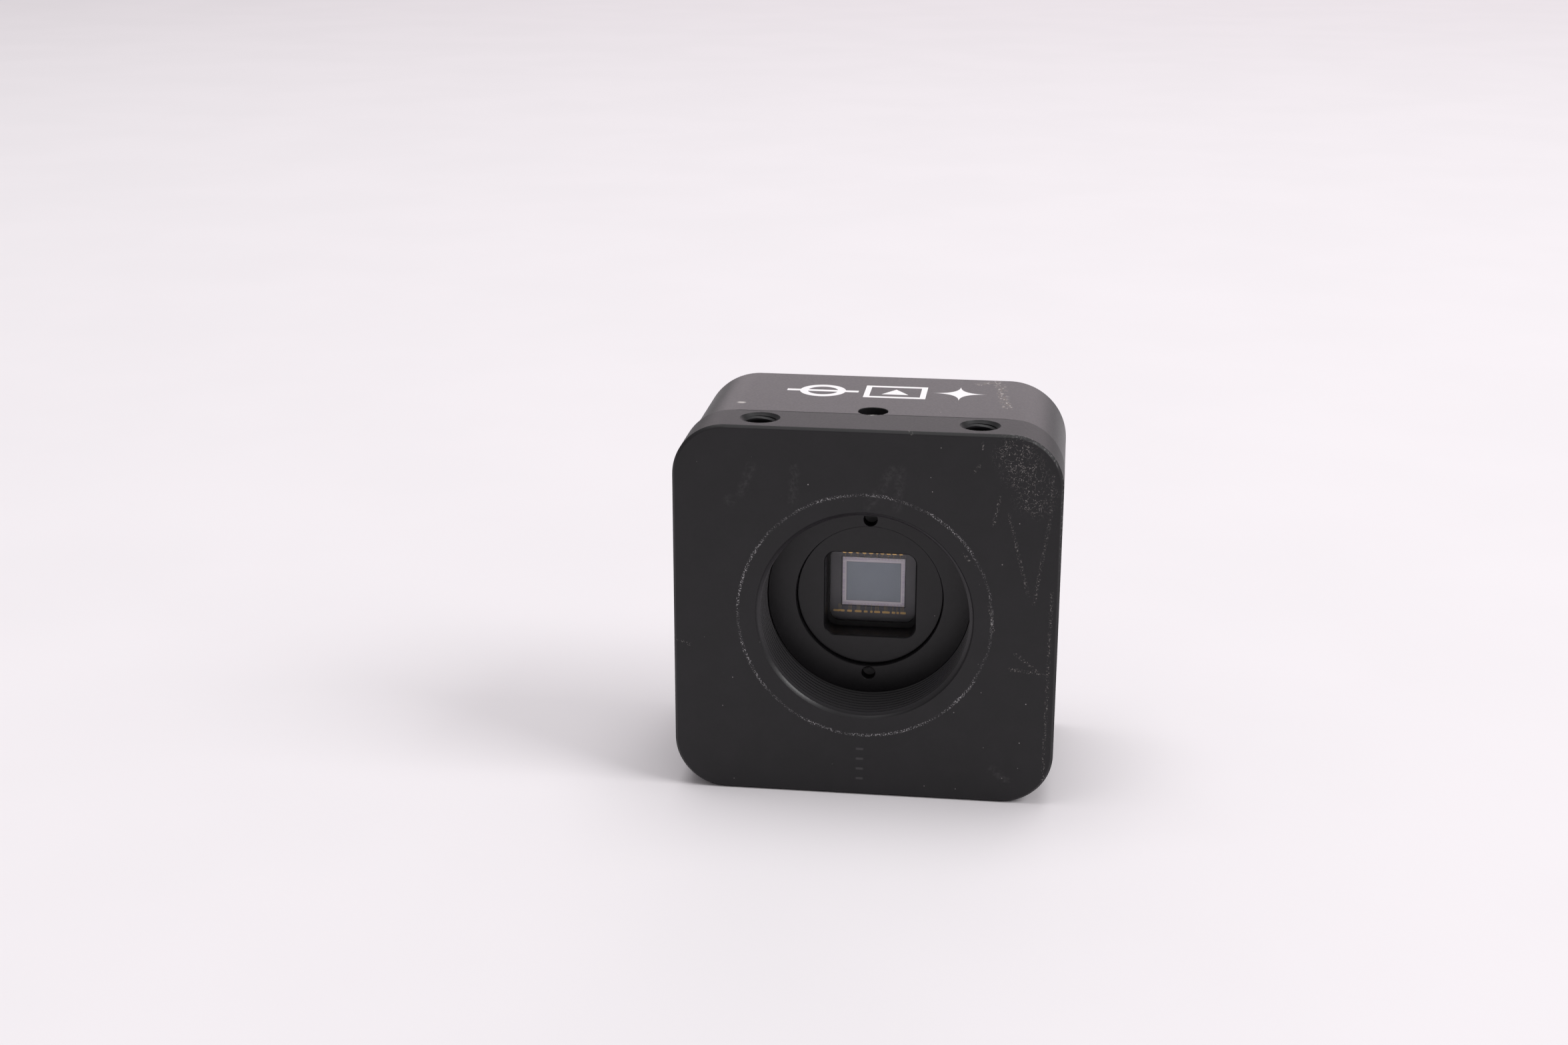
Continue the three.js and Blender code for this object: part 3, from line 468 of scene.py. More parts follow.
def stretch(tree, place, first, second, none, full, flat):
    """1 near the line between two places and 0 beyond a distance from it. Flat drops the axis that
    stands off the surface."""
    start = Vector(first)
    run = Vector(second) - start
    offset = vector_math(tree, "MULTIPLY", vector_math(tree, "SUBTRACT", place, first), flat)
    share = vector_math(tree, "DOT_PRODUCT", offset, run, result="Value")
    share = maths(tree, "DIVIDE", share, run.length_squared)
    share = maths(tree, "MINIMUM", maths(tree, "MAXIMUM", share, 0.0), 1.0)
    foot = vector_math(tree, "SCALE", tuple(run), scale=share)
    away = vector_math(tree, "DISTANCE", offset, foot, result="Value")
    return between(tree, away, none, full)


def most(tree, masks):
    total = masks[0]
    for mask in masks[1:]:
        total = maths(tree, "MAXIMUM", total, mask)
    return total


front_black, tree, shader, place, colour = anodised("front_black_anodising", gloss=0.47)
axis_place = (0, FACE * 1000, AXIS * 1000)
face_place = vector_math(tree, "SUBTRACT", place, axis_place)
split = tree.nodes.new("ShaderNodeSeparateXYZ")
tree.links.new(face_place, split.inputs["Vector"])
in_face = between(tree, split.outputs["Y"], 0.75, 0.6)
flat_face = (1, 0, 1)
fine = noise(tree, place, 6.5, 4, 0.65)
specks = between(tree, fine, 0.52, 0.6)
patches = between(tree, noise(tree, place, 0.2, 2), 0.42, 0.56)
patches = maths(tree, "MULTIPLY_ADD", patches, 0.75, 0.25)
from_axis = vector_math(tree, "MULTIPLY", face_place, flat_face)
radius = vector_math(tree, "LENGTH", from_axis, result="Value")
wobble = maths(tree, "MULTIPLY_ADD", noise(tree, place, 0.8, 2), 0.3, 14.72)
ring_rub = between(tree, size_of(tree, maths(tree, "SUBTRACT", radius, wobble)), 0.24, 0.06)
ring_rub = times(tree, times(tree, ring_rub, specks), patches)
scraped = stretch(tree, face_place, (17.0, 0, 20.2), (19.4, 0, 15.4), 3.2, 0.8, flat_face)
scraped = times(tree, scraped, between(tree, noise(tree, place, 0.5, 3), 0.3, 0.5))
# the scrape is made of thin curls and dots, and the loose scratches are lines between two places
curls = size_of(tree, maths(tree, "SUBTRACT", noise(tree, place, 1.3, 3, 0.55), 0.5))
curls = times(tree, between(tree, curls, 0.014, 0.004), between(tree, fine, 0.44, 0.55))
dots = between(tree, noise(tree, place, 3.6, 4, 0.7), 0.63, 0.7)
scrape_specks = times(tree, scraped, maths(tree, "MAXIMUM", curls, dots))
lines = most(tree, [
    stretch(tree, face_place, first, second, 0.3, 0.04, flat_face)
    for first, second in (
        ((16.4, 0, 13.2), (18.9, 0, 3.6)), ((21.2, 0, 18.0), (21.1, 0, 13.2)),
        ((21.1, 0, 13.2), (19.6, 0, 2.6)), ((15.3, 0, 15.2), (14.7, 0, 11.9)),
        ((14.5, 0, 2.4), (15.0, 0, -0.9)), ((21.6, 0, 4.0), (21.4, 0, -19.5)),
        ((12.9, 0, 18.9), (12.4, 0, 18.2)), ((13.3, 0, 21.6), (13.1, 0, 20.9)),
        ((17.0, 0, -5.6), (21.0, 0, -6.0)), ((12.0, 0, 7.6), (11.4, 0, 8.2)),
        ((4.8, 0, 22.5), (5.1, 0, 22.4)), ((-22.0, 0, -3.9), (-20.6, 0, -4.4)),
        ((17.6, 0, -3.6), (20.8, 0, -6.2)),
    )
])
streaks = times(tree, lines, between(tree, noise(tree, place, 4.2, 4, 0.7), 0.52, 0.7))
smears = most(tree, [
    stretch(tree, face_place, first, second, 0.9, 0.0, flat_face)
    for first, second in (((4.0, 0, 18.2), (3.7, 0, 13.6)), ((-13.2, 0, 17.8), (-14.4, 0, 14.6)),
                          ((-8.2, 0, 18.0), (-8.4, 0, 13.8)), ((3.0, 0, 18.0), (0.4, 0, 13.6)),
                          ((-15.8, 0, 13.7), (-15.6, 0, 13.6)), ((15.5, 0, -18.5), (17.4, 0, -20.0)))
])
smears = times(tree, smears, between(tree, noise(tree, place, 1.4, 5, 0.7), 0.4, 0.75))
# four faint dashes below the mount
dash_level = maths(tree, "ADD", split.outputs["Z"], 16.67)
dash_level = size_of(tree, maths(tree, "PINGPONG", dash_level, 0.635))
dash_side = size_of(tree, maths(tree, "ADD", split.outputs["X"], 0.3))
dash = times(tree, between(tree, dash_level, 0.2, 0.08), between(tree, dash_side, 0.55, 0.3))
dash_reach = size_of(tree, maths(tree, "ADD", split.outputs["Z"], 18.6))
dash = times(tree, dash, between(tree, dash_reach, 2.5, 2.2))
colour = tint(tree, times(tree, smears, in_face), colour, (0.034, 0.032, 0.034))
colour = tint(tree, times(tree, dash, 0.35), colour, (0.11, 0.105, 0.11))
colour = tint(tree, times(tree, ring_rub, in_face), colour, (0.36, 0.35, 0.36))
bare_metal = times(tree, maths(tree, "MAXIMUM", scrape_specks, streaks), in_face)
colour = tint(tree, bare_metal, colour, (0.27, 0.25, 0.24))
edge_rub = times(tree, between(tree, split.outputs["X"], 13, 19), between(tree, split.outputs["Z"], 2, 16))
edge_rub = times(tree, edge_rub, between(tree, split.outputs["Y"], 0.02, 0.1))
rubbed = between(tree, noise(tree, place, 3.2, 4, 0.7), 0.5, 0.7)
edge_rub = times(tree, times(tree, edge_rub, in_face), rubbed)
colour = tint(tree, edge_rub, colour, (0.12, 0.115, 0.12))
# the thread was cut after blasting, so it shines a little more; its colour is also lightened, a painted
# highlight on the thread
bore = times(tree, between(tree, radius, 13.0, 12.85), between(tree, split.outputs["Y"], 0.05, 0.3))
colour = tint(tree, times(tree, bore, 0.7), colour, (0.03, 0.028, 0.031))
machined = maths(tree, "MULTIPLY_ADD", bore, -0.2, shader.inputs["Roughness"].links[0].from_socket)
tree.links.new(machined, shader.inputs["Roughness"])
damage = times(tree, scraped, noise(tree, place, 2.2, 4, 0.65))
finish_anodised(tree, shader, place, colour, damage)
hand_over(front, "housing", "black_anodised", front_black, "front_shell")

# Guide pins and board spacers: ground steel dowels pressed into the boss, and hexagonal spacers of
# nickel-plated steel whose studs are screwed into the back of the front shell.


def plain_finish(name, tone, metallic, rough, grain=6.0, height=0.004, shade=0.75):
    """A finish for a small piece: fine grain, in waves a millimetre, and a tone and gloss that vary."""
    material, tree, shader = new_material(name)
    shader.inputs["Metallic"].default_value = metallic
    place = object_place(tree)
    drift = between(tree, noise(tree, place, 0.5, 3), 0.3, 0.7)
    tree.links.new(tint(tree, drift, [value * shade for value in tone], tone), shader.inputs["Base Color"])
    uneven = maths(tree, "MULTIPLY_ADD", noise(tree, place, 1.6, 3), 0.16, rough - 0.08)
    tree.links.new(uneven, shader.inputs["Roughness"])
    relief(tree, shader, noise(tree, place, grain, 2), height)
    return material


def paint(material, *nodes):
    """Gives CAD nodes whose shape is right their material."""
    for node in nodes:
        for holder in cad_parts[node].material_slots:
            holder.material = material


def numbered(name):
    return [f"{name}_{number}" for number in (1, 2, 3, 4)]


nickel = plain_finish("nickel_plate", (0.62, 0.6, 0.57), 1, 0.26, 8, 0.002, 0.9)
paint(nickel, "guide_pin_left", "guide_pin_right", *numbered("board_spacer"))

# Back-focus ring: turned from aluminium, with the lens thread outside and two spanner holes in its face.
# It screws along the bore and carries the sensor carriage. A thin retainer ring closes it behind.
RING_FACE = 7
RING_BACK = 10.5
ring_corners = [(8.8, RING_FACE + 0.1), (8.88, RING_FACE), (12.16, RING_FACE),
                (12.23, RING_FACE + 0.08), (12.23, RING_BACK), (10.6, RING_BACK), (10.6, 9), (8.8, 9)]
focus_ring = turned("back_focus_ring_turned", ring_corners, at(0, 0, 0), ALONG, MANY)
for level in (-1, 1):
    spanner_hole = [(0, 6), (0.86, 6), (0.86, 7), (0.8, 7.06), (0.8, 8.5), (0.1, 8.75), (0, 8.75)]
    combine(focus_ring, turned("spanner_hole", spanner_hole, at(0, 0, level * 9.72), ALONG, 40))
smooth(focus_ring)


def turned_black(name, tone=(0.0085, 0.0076, 0.009)):
    """Black anodising over fine turning marks that run round the lens axis."""
    material, tree, shader, place, colour = anodised(name, tone)
    flat = vector_math(tree, "MULTIPLY", vector_math(tree, "SUBTRACT", place, axis_place), (1, 0, 1))
    radius = vector_math(tree, "LENGTH", flat, result="Value")
    lathe = maths(tree, "SINE", times(tree, radius, 42.0))
    marks = times(tree, lathe, noise(tree, place, 0.8, 3))
    finish_anodised(tree, shader, place, colour, times(tree, marks, 0.08))
    return material


ring_black = turned_black("ring_black_anodising")
hand_over(focus_ring, "focus_ring", "black_anodised", ring_black, "back_focus_ring")
paint(ring_black, "ring_retainer")

# Sensor mask: a turned black nose with a flange that the ring holds, and the window milled through it.
# The window's front edge is lightly chamfered, and a square recess behind takes the dust seal.
MASK_FACE = 7.8
MASK_BACK = 11.45
mask_corners = [(0, MASK_FACE), (8.66, MASK_FACE), (8.72, MASK_FACE + 0.06), (8.72, 9.05),
                (10.44, 9.05), (10.44, 9.95), (8.96, 9.95), (8.96, MASK_BACK), (0, MASK_BACK)]
mask = turned("sensor_mask_turned", mask_corners, at(0, 0, 0), ALONG, MANY)
combine(mask, long_block("recess", (12.56, 12.56), 11, 12.5))
window_cut = long_block("window", (10.9, 10.5), 7.7, 12.5, 1.3, segments=10)
combine(mask, window_cut)
flare = long_block("flare", (11.14, 10.74), 7, MASK_FACE + 0.12, 1.42, segments=10)
chamfer_end(flare, MASK_FACE + 0.12, 0.12)
combine(mask, flare)
smooth(mask)
hand_over(mask, "sensor_carriage", "black_anodised", turned_black("mask_black_anodising"), "sensor_mask")

# Sensor seal and sensor plate: a soft black rubber frame pressed against the lid, and the milled plate
# that holds mask and sensor together and slides on the guide pins.
rubber = plain_finish("seal_rubber", (0.016, 0.015, 0.016), 0, 0.72, 14, 0.01)
paint(rubber, "sensor_seal")
plate_black, tree, shader, place, colour = anodised("plate_black_anodising")
finish_anodised(tree, shader, place, colour)
paint(plate_black, "sensor_plate")

# Sensor package: dark alumina carrier with a stepped cavity, pressed and fired. Gold fingers are printed
# on the ledges above and below the die, and fine gold wires run from them to the die.
PACKAGE_FACE = 12.106
LEDGE = 12.456
FLOOR = 12.946
DIE_FACE = 12.526
carrier = long_block("sensor_package_fired", (14.2, 14.2), PACKAGE_FACE, 13.35, 0.4, segments=5)
soften(carrier, 0.04)
combine(carrier, long_block("upper_cavity", (11.6, 11.0), 11, LEDGE, 0.3, segments=5))
combine(carrier, long_block("lower_cavity", (7.9, 6.4), 11, FLOOR, 0.15, segments=3))
smooth(carrier)
ceramic = plain_finish("package_alumina", (0.125, 0.115, 0.125), 0, 0.5, 16, 0.004, 0.85)
hand_over(carrier, "sensor_carriage", "package_ceramic", ceramic, "sensor_package")


def copy_to(piece, name, offset):
    """A copy with its own mesh, moved aside."""
    twin = piece.copy()
    twin.data = piece.data.copy()
    twin.name = name
    bpy.context.collection.objects.link(twin)
    twin.data.transform(Matrix.Translation(offset))
    return twin


def joined(name, pieces):
    """Several like pieces as one object."""
    deselect()
    for piece in pieces:
        piece.select_set(True)
    bpy.context.view_layer.objects.active = pieces[0]
    bpy.ops.object.join()
    pieces[0].name = name
    return pieces[0]


# each bond finger's middle and width
UPPER_FINGERS = ((-3.57, 0.41), (-2.85, 0.49), (-1.99, 0.34), (-1.16, 0.46), (-0.34, 0.5), (0.4, 0.24),
                 (1.02, 0.43), (1.79, 0.5), (2.5, 0.5), (3.29, 0.4))
LOWER_FINGERS = ((-4.2, 1.4), (-2.9, 0.6), (-1.84, 0.83), (-0.91, 0.46), (-0.21, 0.31), (0.49, 0.74),
                 (1.57, 0.93), (2.5, 0.44), (3.02, 0.31), (3.66, 0.67))
fingers = []
for row, level in ((UPPER_FINGERS, 3.72), (LOWER_FINGERS, -3.86)):
    for x, width in row:
        fingers.append(long_block("finger", (width, 0.26), LEDGE - 0.024, LEDGE - 0.002, 0.08, x, level, 3))
fingers = joined("bond_fingers", fingers)
gold = plain_finish("bond_gold", (0.78, 0.5, 0.2), 1, 0.3, 10, 0.002, 0.85)
hand_over(fingers, "sensor_carriage", "package_ceramic", gold)


def bond_wire(level):
    """A thin wire that arches from the die's edge to a finger."""
    deselect()
    bpy.ops.curve.primitive_bezier_curve_add(location=at(0, 0, 0))
    wire = bpy.context.active_object
    wire.data.bevel_depth = 0.000011
    wire.data.bevel_resolution = 1
    wire.data.resolution_u = 8
    wire.data.use_fill_caps = True
    ends = ((2.93, DIE_FACE - 0.01, 2.98, 12.26), (3.76, LEDGE - 0.03, 3.6, 12.24))
    for point, (out, depth, handle_out, handle_depth) in zip(wire.data.splines[0].bezier_points, ends):
        point.handle_left_type = point.handle_right_type = "FREE"
        point.co = Vector((0, depth, level * out)) / 1000
        handle = Vector((0, handle_depth, level * handle_out)) / 1000
        point.handle_left = point.handle_right = handle
    bpy.ops.object.convert(target="MESH")
    settle(bpy.context.active_object)
    close_up(bpy.context.active_object)
    return bpy.context.active_object


wires = []
for row, level in ((UPPER_FINGERS, 1), (LOWER_FINGERS, -1)):
    first_wire = bond_wire(level)
    for x, width in row:
        for step in (-1, 0, 1) if width > 0.5 else (0,):
            aside = x * 0.97 + step * 0.16
            wires.append(copy_to(first_wire, "wire", Vector((aside, 0, 0)) / 1000))
    bpy.data.objects.remove(first_wire)
wires = joined("bond_wires", wires)
for face in wires.data.polygons:
    face.use_smooth = True
hand_over(wires, "sensor_carriage", "package_ceramic", gold)

# Sensor die: polished silicon. A blue-grey 6.6 by 4.9 mm array lies inside a dark moat and a pale
# lilac border that carries a row of bond pads above and below.
silicon, tree, shader = new_material("die_silicon")
place = object_place(tree)
shader.inputs["Metallic"].default_value = 0.0
shader.inputs["Roughness"].default_value = 0.3
split = tree.nodes.new("ShaderNodeSeparateXYZ")
tree.links.new(vector_math(tree, "SUBTRACT", place, axis_place), split.inputs["Vector"])
across = size_of(tree, split.outputs["X"])
upward = size_of(tree, split.outputs["Z"])


def inside(tree, across, upward, width, height, soft=0.03):
    """1 inside a centred rectangle of a half width and half height."""
    return maths(tree, "MINIMUM", between(tree, across, width, width - soft),
                 between(tree, upward, height, height - soft))


array_area = inside(tree, across, upward, 3.275, 2.46)
moat = inside(tree, across, upward, 3.33, 2.51)
rim = inside(tree, across, upward, 3.52, 2.72)
long_place = vector_math(tree, "MULTIPLY", place, (0.6, 1, 9))
streaky = between(tree, noise(tree, long_place, 1.0, 2), 0.35, 0.65)
border = tint(tree, streaky, (0.8, 0.7, 0.84), (0.95, 0.88, 0.94))
pad_step = maths(tree, "PINGPONG", maths(tree, "ADD", split.outputs["X"], 20.0), 0.2)
pad_rows = times(tree, between(tree, upward, 2.8, 2.84), between(tree, upward, 3.0, 2.96))
pads = times(tree, between(tree, pad_step, 0.06, 0.08), pad_rows)
border = tint(tree, times(tree, pads, 0.25), border, (0.5, 0.42, 0.4))
colour = tint(tree, rim, border, (0.95, 0.88, 0.95))
colour = tint(tree, moat, colour, (0.16, 0.15, 0.18))
clouds = between(tree, noise(tree, place, 0.25, 2), 0.3, 0.7)
array = tint(tree, clouds, (0.33, 0.37, 0.44), (0.365, 0.405, 0.475))
colour = tint(tree, array_area, colour, array)
tree.links.new(colour, shader.inputs["Base Color"])
relief(tree, shader, noise(tree, place, 30, 1), 0.0001, 0.15)
paint(silicon, "sensor_die")

# Sensor lid: thin clear glass, ground flat and polished on both sides, with an anti-reflection coat.
# It is glued to the package's rim and closes the cavity.
glass, tree, shader = new_material("lid_glass")
place = object_place(tree)
shader.inputs["IOR"].default_value = 1.5
shader.inputs["Alpha"].default_value = 0.05
film = between(tree, noise(tree, place, 0.4, 2), 0.3, 0.7)
tree.links.new(tint(tree, film, (0.62, 0.66, 0.68), (0.7, 0.72, 0.74)), shader.inputs["Base Color"])
tree.links.new(maths(tree, "MULTIPLY_ADD", film, 0.03, 0.03), shader.inputs["Roughness"])
paint(glass, "sensor_glass")

# Sensor board, flat cable and main board: green fibreglass boards with etched copper under the solder
# mask, their screws, their nylon connectors and the amber cable that links them.
board_green, tree, shader = new_material("board_green")
place = object_place(tree)
shader.inputs["Roughness"].default_value = 0.42
flat = vector_math(tree, "MULTIPLY", place, (1, 0, 1))
weave = between(tree, noise(tree, vector_math(tree, "MULTIPLY", flat, (1, 1, 4)), 0.9, 1), 0.5, 0.53)
lanes = maths(tree, "SINE", times(tree, noise(tree, flat, 0.12, 0), 160.0))
copper = times(tree, weave, between(tree, lanes, 0.3, 0.6))
mask_green = tint(tree, copper, (0.006, 0.06, 0.022), (0.014, 0.13, 0.045))
tree.links.new(mask_green, shader.inputs["Base Color"])
relief(tree, shader, copper, 0.03)
paint(board_green, "sensor_board", "main_board")
paint(nickel, *numbered("sensor_board_screw"), *numbered("main_board_screw"))
paint(nickel, "clock_crystal", "trigger_nut")
black_nylon = plain_finish("connector_nylon", (0.022, 0.021, 0.02), 0, 0.5, 9, 0.006)
paint(black_nylon, "sensor_connector", "main_connector")
paint(plain_finish("polyimide_film", (0.42, 0.16, 0.025), 0, 0.35, 3, 0.004), "sensor_flex")

# Chips, inductor and thermal pad: moulded black epoxy packages soldered to the main board, and a soft
# grey pad that carries the processor's heat to the rear wall. A rubber gasket lies between the shells.
epoxy = plain_finish("chip_epoxy", (0.02, 0.02, 0.021), 0, 0.55, 12, 0.008)
paint(epoxy, "image_processor", "frame_memory")
black_oxide = plain_finish("black_oxide_steel", (0.035, 0.034, 0.036), 1, 0.36, 7, 0.004)
paint(black_oxide, "power_inductor")
paint(plain_finish("gap_pad_silicone", (0.3, 0.33, 0.4), 0, 0.8, 5, 0.02), "thermal_pad")
paint(rubber, "housing_gasket")

# Rear shell: a cup milled from the same aluminium, whose corners are rounder than the front shell's.
# It has the screw's access hole in its top, four countersunk holes and the sockets' openings behind.
CASE_BACK = 25.2
REAR_START = 6.95
INNER_BACK = 23
USB_X = -9.5
TRIGGER_X = 9.5
SOCKET_Z = 9
PIPE_Z = 12
rear = long_block("rear_shell_machined", (WIDTH, HEIGHT), REAR_START, CASE_BACK, CASE_CORNER, segments=28)
chamfer_end(rear, CASE_BACK, 0.35, 2)
soften(rear, 0.06)
combine(rear, long_block("cup", (WIDTH - 4, HEIGHT - 4), 5.9, INNER_BACK, CASE_CORNER - 2))
rebate_size = (WIDTH - 1.9, HEIGHT - 1.9)
combine(rear, long_block("rebate", rebate_size, 5.9, REAR_START + 0.3, CASE_CORNER - 0.95))
combine(rear, turned("access", access, at(0, LOCK_DEPTH, HEIGHT / 2), UP, 48))
for side, level in CORNERS:
    sink = [(0, 21), (1.25, 21), (1.25, 23.75), (2.36, 25.03), (2.36, 25.14),
            (2.42, CASE_BACK), (2.42, 26), (0, 26)]
    combine(rear, turned("countersink", sink, at(side * POST_X, 0, level * POST_Z), ALONG, 48))
combine(rear, long_block("usb_opening", (8.1, 4.3), 21, 26, 0.5, USB_X, SOCKET_Z, 4))
trigger_place = at(TRIGGER_X, 0, SOCKET_Z)
round_opening = [(0, 21), (4.58, 21), (4.58, 26), (0, 26)]
combine(rear, turned("trigger_opening", round_opening, trigger_place, ALONG, 64))
pipe_place = at(0, 0, PIPE_Z)
combine(rear, turned("pipe_opening", [(0, 21), (1.08, 21), (1.08, 26), (0, 26)], pipe_place, ALONG, 32))
smooth(rear)

# Its finish, with a white print on top of a focal-plane sign, a sensor frame and a star. The print is
# worn ink, and the top is rubbed at its rear right corner.
rear_black, tree, shader, place, colour = anodised("rear_black_anodising")
rear_place = vector_math(tree, "SUBTRACT", place, axis_place)
split = tree.nodes.new("ShaderNodeSeparateXYZ")
tree.links.new(rear_place, split.inputs["Vector"])
on_top = between(tree, split.outputs["Z"], 22.5, 22.58)
flat_top = (1, 1, 0)


def offsets(tree, split, x, depth):
    """Distances right of and behind a place on the top, in millimetres."""
    right = maths(tree, "SUBTRACT", split.outputs["X"], x)
    return right, maths(tree, "SUBTRACT", split.outputs["Y"], depth)


right, back = offsets(tree, split, -6.9, 17.2)
circle = maths(tree, "SQRT", maths(tree, "ADD", times(tree, right, right), times(tree, back, back)))
focal_circle = between(tree, size_of(tree, maths(tree, "SUBTRACT", circle, 2.3)), 0.5, 0.44)
focal_line = inside(tree, size_of(tree, right), size_of(tree, back), 4.35, 0.42)
right, back = offsets(tree, split, 1.9, 17.5)
frame_out = inside(tree, size_of(tree, right), size_of(tree, back), 3.75, 2.85)
frame_in = inside(tree, size_of(tree, right), size_of(tree, back), 3.05, 2.15)
arrow_side = maths(tree, "MULTIPLY_ADD", size_of(tree, right), 1.5, back)
arrow = times(tree, between(tree, arrow_side, 1.3, 1.24), between(tree, back, -1.2, -1.14))
sensor_sign = maths(tree, "MAXIMUM", maths(tree, "SUBTRACT", frame_out, frame_in), arrow)
right, back = offsets(tree, split, 9.6, 17.8)
star_reach = [maths(tree, "SQRT", size_of(tree, distance)) for distance in (right, back)]
star = between(tree, maths(tree, "ADD", *star_reach), 1.86, 1.82)
print_mask = times(tree, most(tree, [focal_circle, focal_line, sensor_sign, star]), on_top)
worn_ink = between(tree, noise(tree, place, 3.0, 4, 0.6), 0.22, 0.34)
print_mask = times(tree, print_mask, worn_ink)
chips = most(tree, [
    stretch(tree, rear_place, first, second, 0.9, 0.2, flat_top)
    for first, second in (((11.6, 22.6, 0), (13.8, 24.3, 0)), ((13.8, 24.3, 0), (14.4, 21.5, 0)),
                          ((14.5, 21.5, 0), (14.8, 16.5, 0)), ((14.9, 15.8, 0), (15.5, 12.0, 0)))
])
chips = times(tree, chips, on_top)
dark_chips = times(tree, chips, between(tree, noise(tree, place, 1.9, 4, 0.7), 0.5, 0.56))
pale_chips = times(tree, chips, between(tree, noise(tree, place, 2.3, 4, 0.7), 0.56, 0.64))
pale_rub = stretch(tree, rear_place, (-16.6, 10.6, 0), (-15.7, 10.3, 0), 0.55, 0.1, flat_top)
pale_grain = between(tree, noise(tree, place, 2.0, 3, 0.6), 0.35, 0.5)
pale_rub = times(tree, times(tree, pale_rub, on_top), pale_grain)
colour = tint(tree, dark_chips, colour, (0.05, 0.038, 0.024))
colour = tint(tree, maths(tree, "MAXIMUM", pale_chips, pale_rub), colour, (0.42, 0.4, 0.38))
colour = tint(tree, print_mask, colour, (0.86, 0.84, 0.85))
chip_depth = times(tree, chips, noise(tree, place, 1.6, 4, 0.65))
finish_anodised(tree, shader, place, colour, chip_depth)
hand_over(rear, "housing", "black_anodised", rear_black, "rear_shell")

# Case screws: countersunk hexagon-socket screws, headed from steel wire, rolled and blacked with oxide.
# They clamp the rear shell to the posts.
screw_corners = [(0, 0), (2.2, 0), (2.27, -0.03), (2.3, -0.1), (1.2, -1.3), (1.2, -8.0),
                 (1.0, -8.2), (0, -8.2)]
screw_place = at(-POST_X, 25.05, POST_Z)
case_screw = turned("case_screw_1", screw_corners, screw_place, ALONG, 40)
combine(case_screw, turned("hex", [(0, -0.9), (0.75, -0.9), (0.75, 1), (0, 1)], screw_place, ALONG, 6))
hex_mouth = [(0, -0.14), (0.62, -0.14), (0.92, 0.16), (0, 0.16)]
combine(case_screw, turned("hex_mouth", hex_mouth, screw_place, ALONG, 24))
smooth(case_screw)
moves = (Vector((2 * POST_X, 0, 0)), Vector((0, 0, -2 * POST_Z)), Vector((2 * POST_X, 0, -2 * POST_Z)))
case_screws = [case_screw]
for number, move in enumerate(moves):
    case_screws.append(copy_to(case_screw, f"case_screw_{number + 2}", move / 1000))
for screw, node in zip(case_screws, numbered("housing_screw")):
    hand_over(screw, "housing", "black_steel", black_oxide, node)

# Lock screw: an M3 hexagon-socket set screw of bright steel with a rolled thread, screwed down through
# the boss on to the ring.
LOCK_LOW = 12.3
LOCK_LENGTH = 9.6
lock_place = at(0, LOCK_DEPTH, LOCK_LOW)
lock = thread_rod("lock_screw_threaded", 1.2, 1.45, 0.5, LOCK_LENGTH, lock_place, UP, 40)
blank = [(0, 0), (1.05, 0), (1.46, 0.42), (1.46, LOCK_LENGTH - 0.3), (1.2, LOCK_LENGTH - 0.01),
         (0, LOCK_LENGTH - 0.01)]
combine(lock, turned("blank", blank, lock_place, UP, 40), "INTERSECT")
head = lock_place + Vector((0, 0, LOCK_LENGTH / 1000))
combine(lock, turned("hex", [(0, -1.6), (0.87, -1.6), (0.87, 1), (0, 1)], head, UP, 6))
combine(lock, turned("hex_mouth", [(0, -0.16), (0.72, -0.16), (1.0, 0.12), (0, 0.12)], head, UP, 24))
smooth(lock)
bright = plain_finish("bright_steel", (0.72, 0.7, 0.68), 1, 0.2, 5, 0.004, 0.8)
hand_over(lock, "lock", "plain_steel", bright, "lock_screw")

# USB socket: a pressed and tinned steel shell, narrower below, round a nylon tongue with gilt contacts.
# It is soldered to the main board and looks out through the rear wall.
SOCKET_START = 20.22


def usb_form(name, width, height, start, end, cut):
    """A block whose two lower edges are cut away and whose two upper edges are rounded."""
    form = long_block(name, (width, height), start, end, x=USB_X, z=SOCKET_Z)
    middle = at(0, 0, SOCKET_Z).z
    for low, offset, segments in ((True, cut, 1), (False, 0.35, 4)):
        bpy.ops.object.mode_set(mode="EDIT")
        pick(form, lambda edge: runs_back(edge) and (edge.verts[0].co.z < middle) == low)
        bpy.ops.mesh.bevel(offset=offset / 1000, segments=segments, affect="EDGES")
        bpy.ops.object.mode_set(mode="OBJECT")
    return form


usb = usb_form("usb_socket_pressed", 7.7, 3.9, SOCKET_START, 25.4, 0.9)
soften(usb, 0.05)
combine(usb, usb_form("usb_hollow", 7.0, 3.2, SOCKET_START + 0.35, 26.4, 0.75))
smooth(usb)
tinned = plain_finish("tinned_steel", (0.66, 0.65, 0.63), 1, 0.3, 4, 0.004, 0.85)
hand_over(usb, "housing", "plain_steel", tinned, "usb_socket")
tongue = long_block("usb_tongue_moulded", (5, 0.9), SOCKET_START + 0.37, 24.2, x=USB_X, z=SOCKET_Z)
soften(tongue, 0.12, 3)
smooth(tongue)
hand_over(tongue, "housing", "connector_plastic", black_nylon, "usb_tongue")
contacts = []
for number in range(5):
    x = USB_X + (number - 2) * 0.8
    contact = long_block("contact", (0.32, 0.06), 20.8, 24.05, x=x, z=SOCKET_Z - 0.475)
    soften(contact, 0.02, 1)
    contacts.append(contact)
contacts = joined("usb_contacts", contacts)
hand_over(contacts, "housing", "plain_steel", gold)

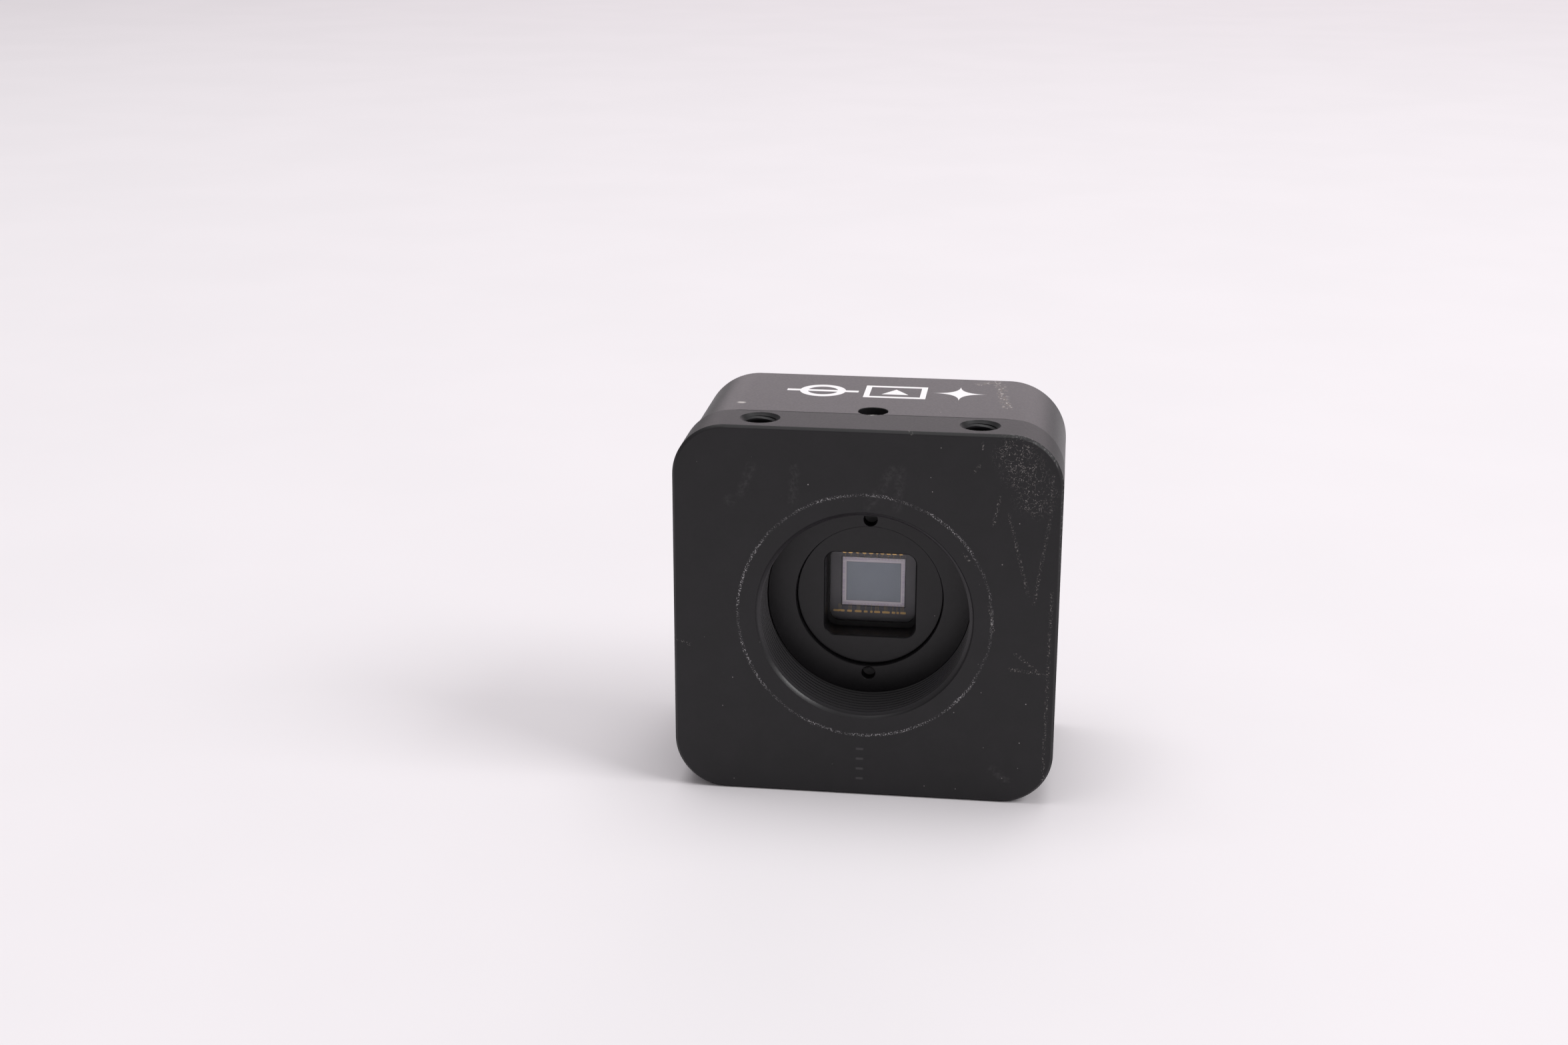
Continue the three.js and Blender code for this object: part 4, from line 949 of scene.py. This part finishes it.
# Trigger socket: a turned and nickelled panel connector with four wrench notches in its flange, held by
# the nut inside, and a black insert with six gilt sleeves.
trigger_corners = [(3.7, 20.62), (4.42, 20.62), (4.5, 20.7), (4.5, 25.22), (5.3, 25.22), (5.4, 25.32),
                   (5.4, 26.05), (5.23, 26.22), (3.9, 26.22), (3.7, 26.02)]
trigger = turned("trigger_socket_turned", trigger_corners, trigger_place, ALONG, 72)
for side, level in ((-1, 0), (1, 0), (0, 1), (0, -1)):
    size = (1.0, 1.5) if side else (1.5, 1.0)
    spot = (TRIGGER_X + side * 5.4, SOCKET_Z + level * 5.4)
    combine(trigger, long_block("notch", size, 25.6, 27, 0.2, *spot, 3))
smooth(trigger)
hand_over(trigger, "housing", "plain_steel", nickel, "trigger_socket")
insert_corners = [(0, 20.62), (3.66, 20.62), (3.66, 21.82), (3.56, 21.92), (0, 21.92)]
insert = turned("trigger_insert_moulded", insert_corners, trigger_place, ALONG, 48)
sleeves = []
for number in range(6):
    angle = math.radians(60 * number + 30)
    spot = at(TRIGGER_X + 2.1 * math.cos(angle), 0, SOCKET_Z + 2.1 * math.sin(angle))
    combine(insert, turned("socket_hole", [(0, 20.9), (0.52, 20.9), (0.52, 23), (0, 23)], spot, ALONG, 24))
    sleeve = [(0.34, 20.92), (0.5, 20.92), (0.5, 21.86), (0.44, 21.9), (0.34, 21.86)]
    sleeves.append(turned("sleeve", sleeve, spot, ALONG, 20))
combine(insert, long_block("key", (0.9, 1.2), 21.3, 23, 0.2, TRIGGER_X, SOCKET_Z + 3.4, 3))
smooth(insert)
hand_over(insert, "housing", "connector_plastic", black_nylon, "trigger_insert")
sleeves = joined("trigger_sleeves", sleeves)
smooth(sleeves)
hand_over(sleeves, "housing", "plain_steel", gold)

# Status light: a small lamp on the main board and a clear acrylic pipe, moulded with a slightly domed
# end and pressed into the rear wall.
acrylic, tree, shader = new_material("clear_acrylic")
place = object_place(tree)
shader.inputs["Alpha"].default_value = 0.45
shader.inputs["IOR"].default_value = 1.49
haze = between(tree, noise(tree, place, 2.0, 3), 0.3, 0.7)
tree.links.new(tint(tree, haze, (0.62, 0.68, 0.62), (0.74, 0.8, 0.74)), shader.inputs["Base Color"])
tree.links.new(maths(tree, "MULTIPLY_ADD", haze, 0.1, 0.12), shader.inputs["Roughness"])
pipe_corners = [(0, 21.1), (0.92, 21.1), (1.0, 21.18), (1.0, 24.96), (0.9, 25.06), (0.5, 25.16),
                (0, 25.19)]
pipe = turned("light_pipe_moulded", pipe_corners, pipe_place, ALONG, 32)
smooth(pipe, 50)
hand_over(pipe, "housing", "clear_plastic", acrylic, "light_pipe")
paint(acrylic, "status_lamp")
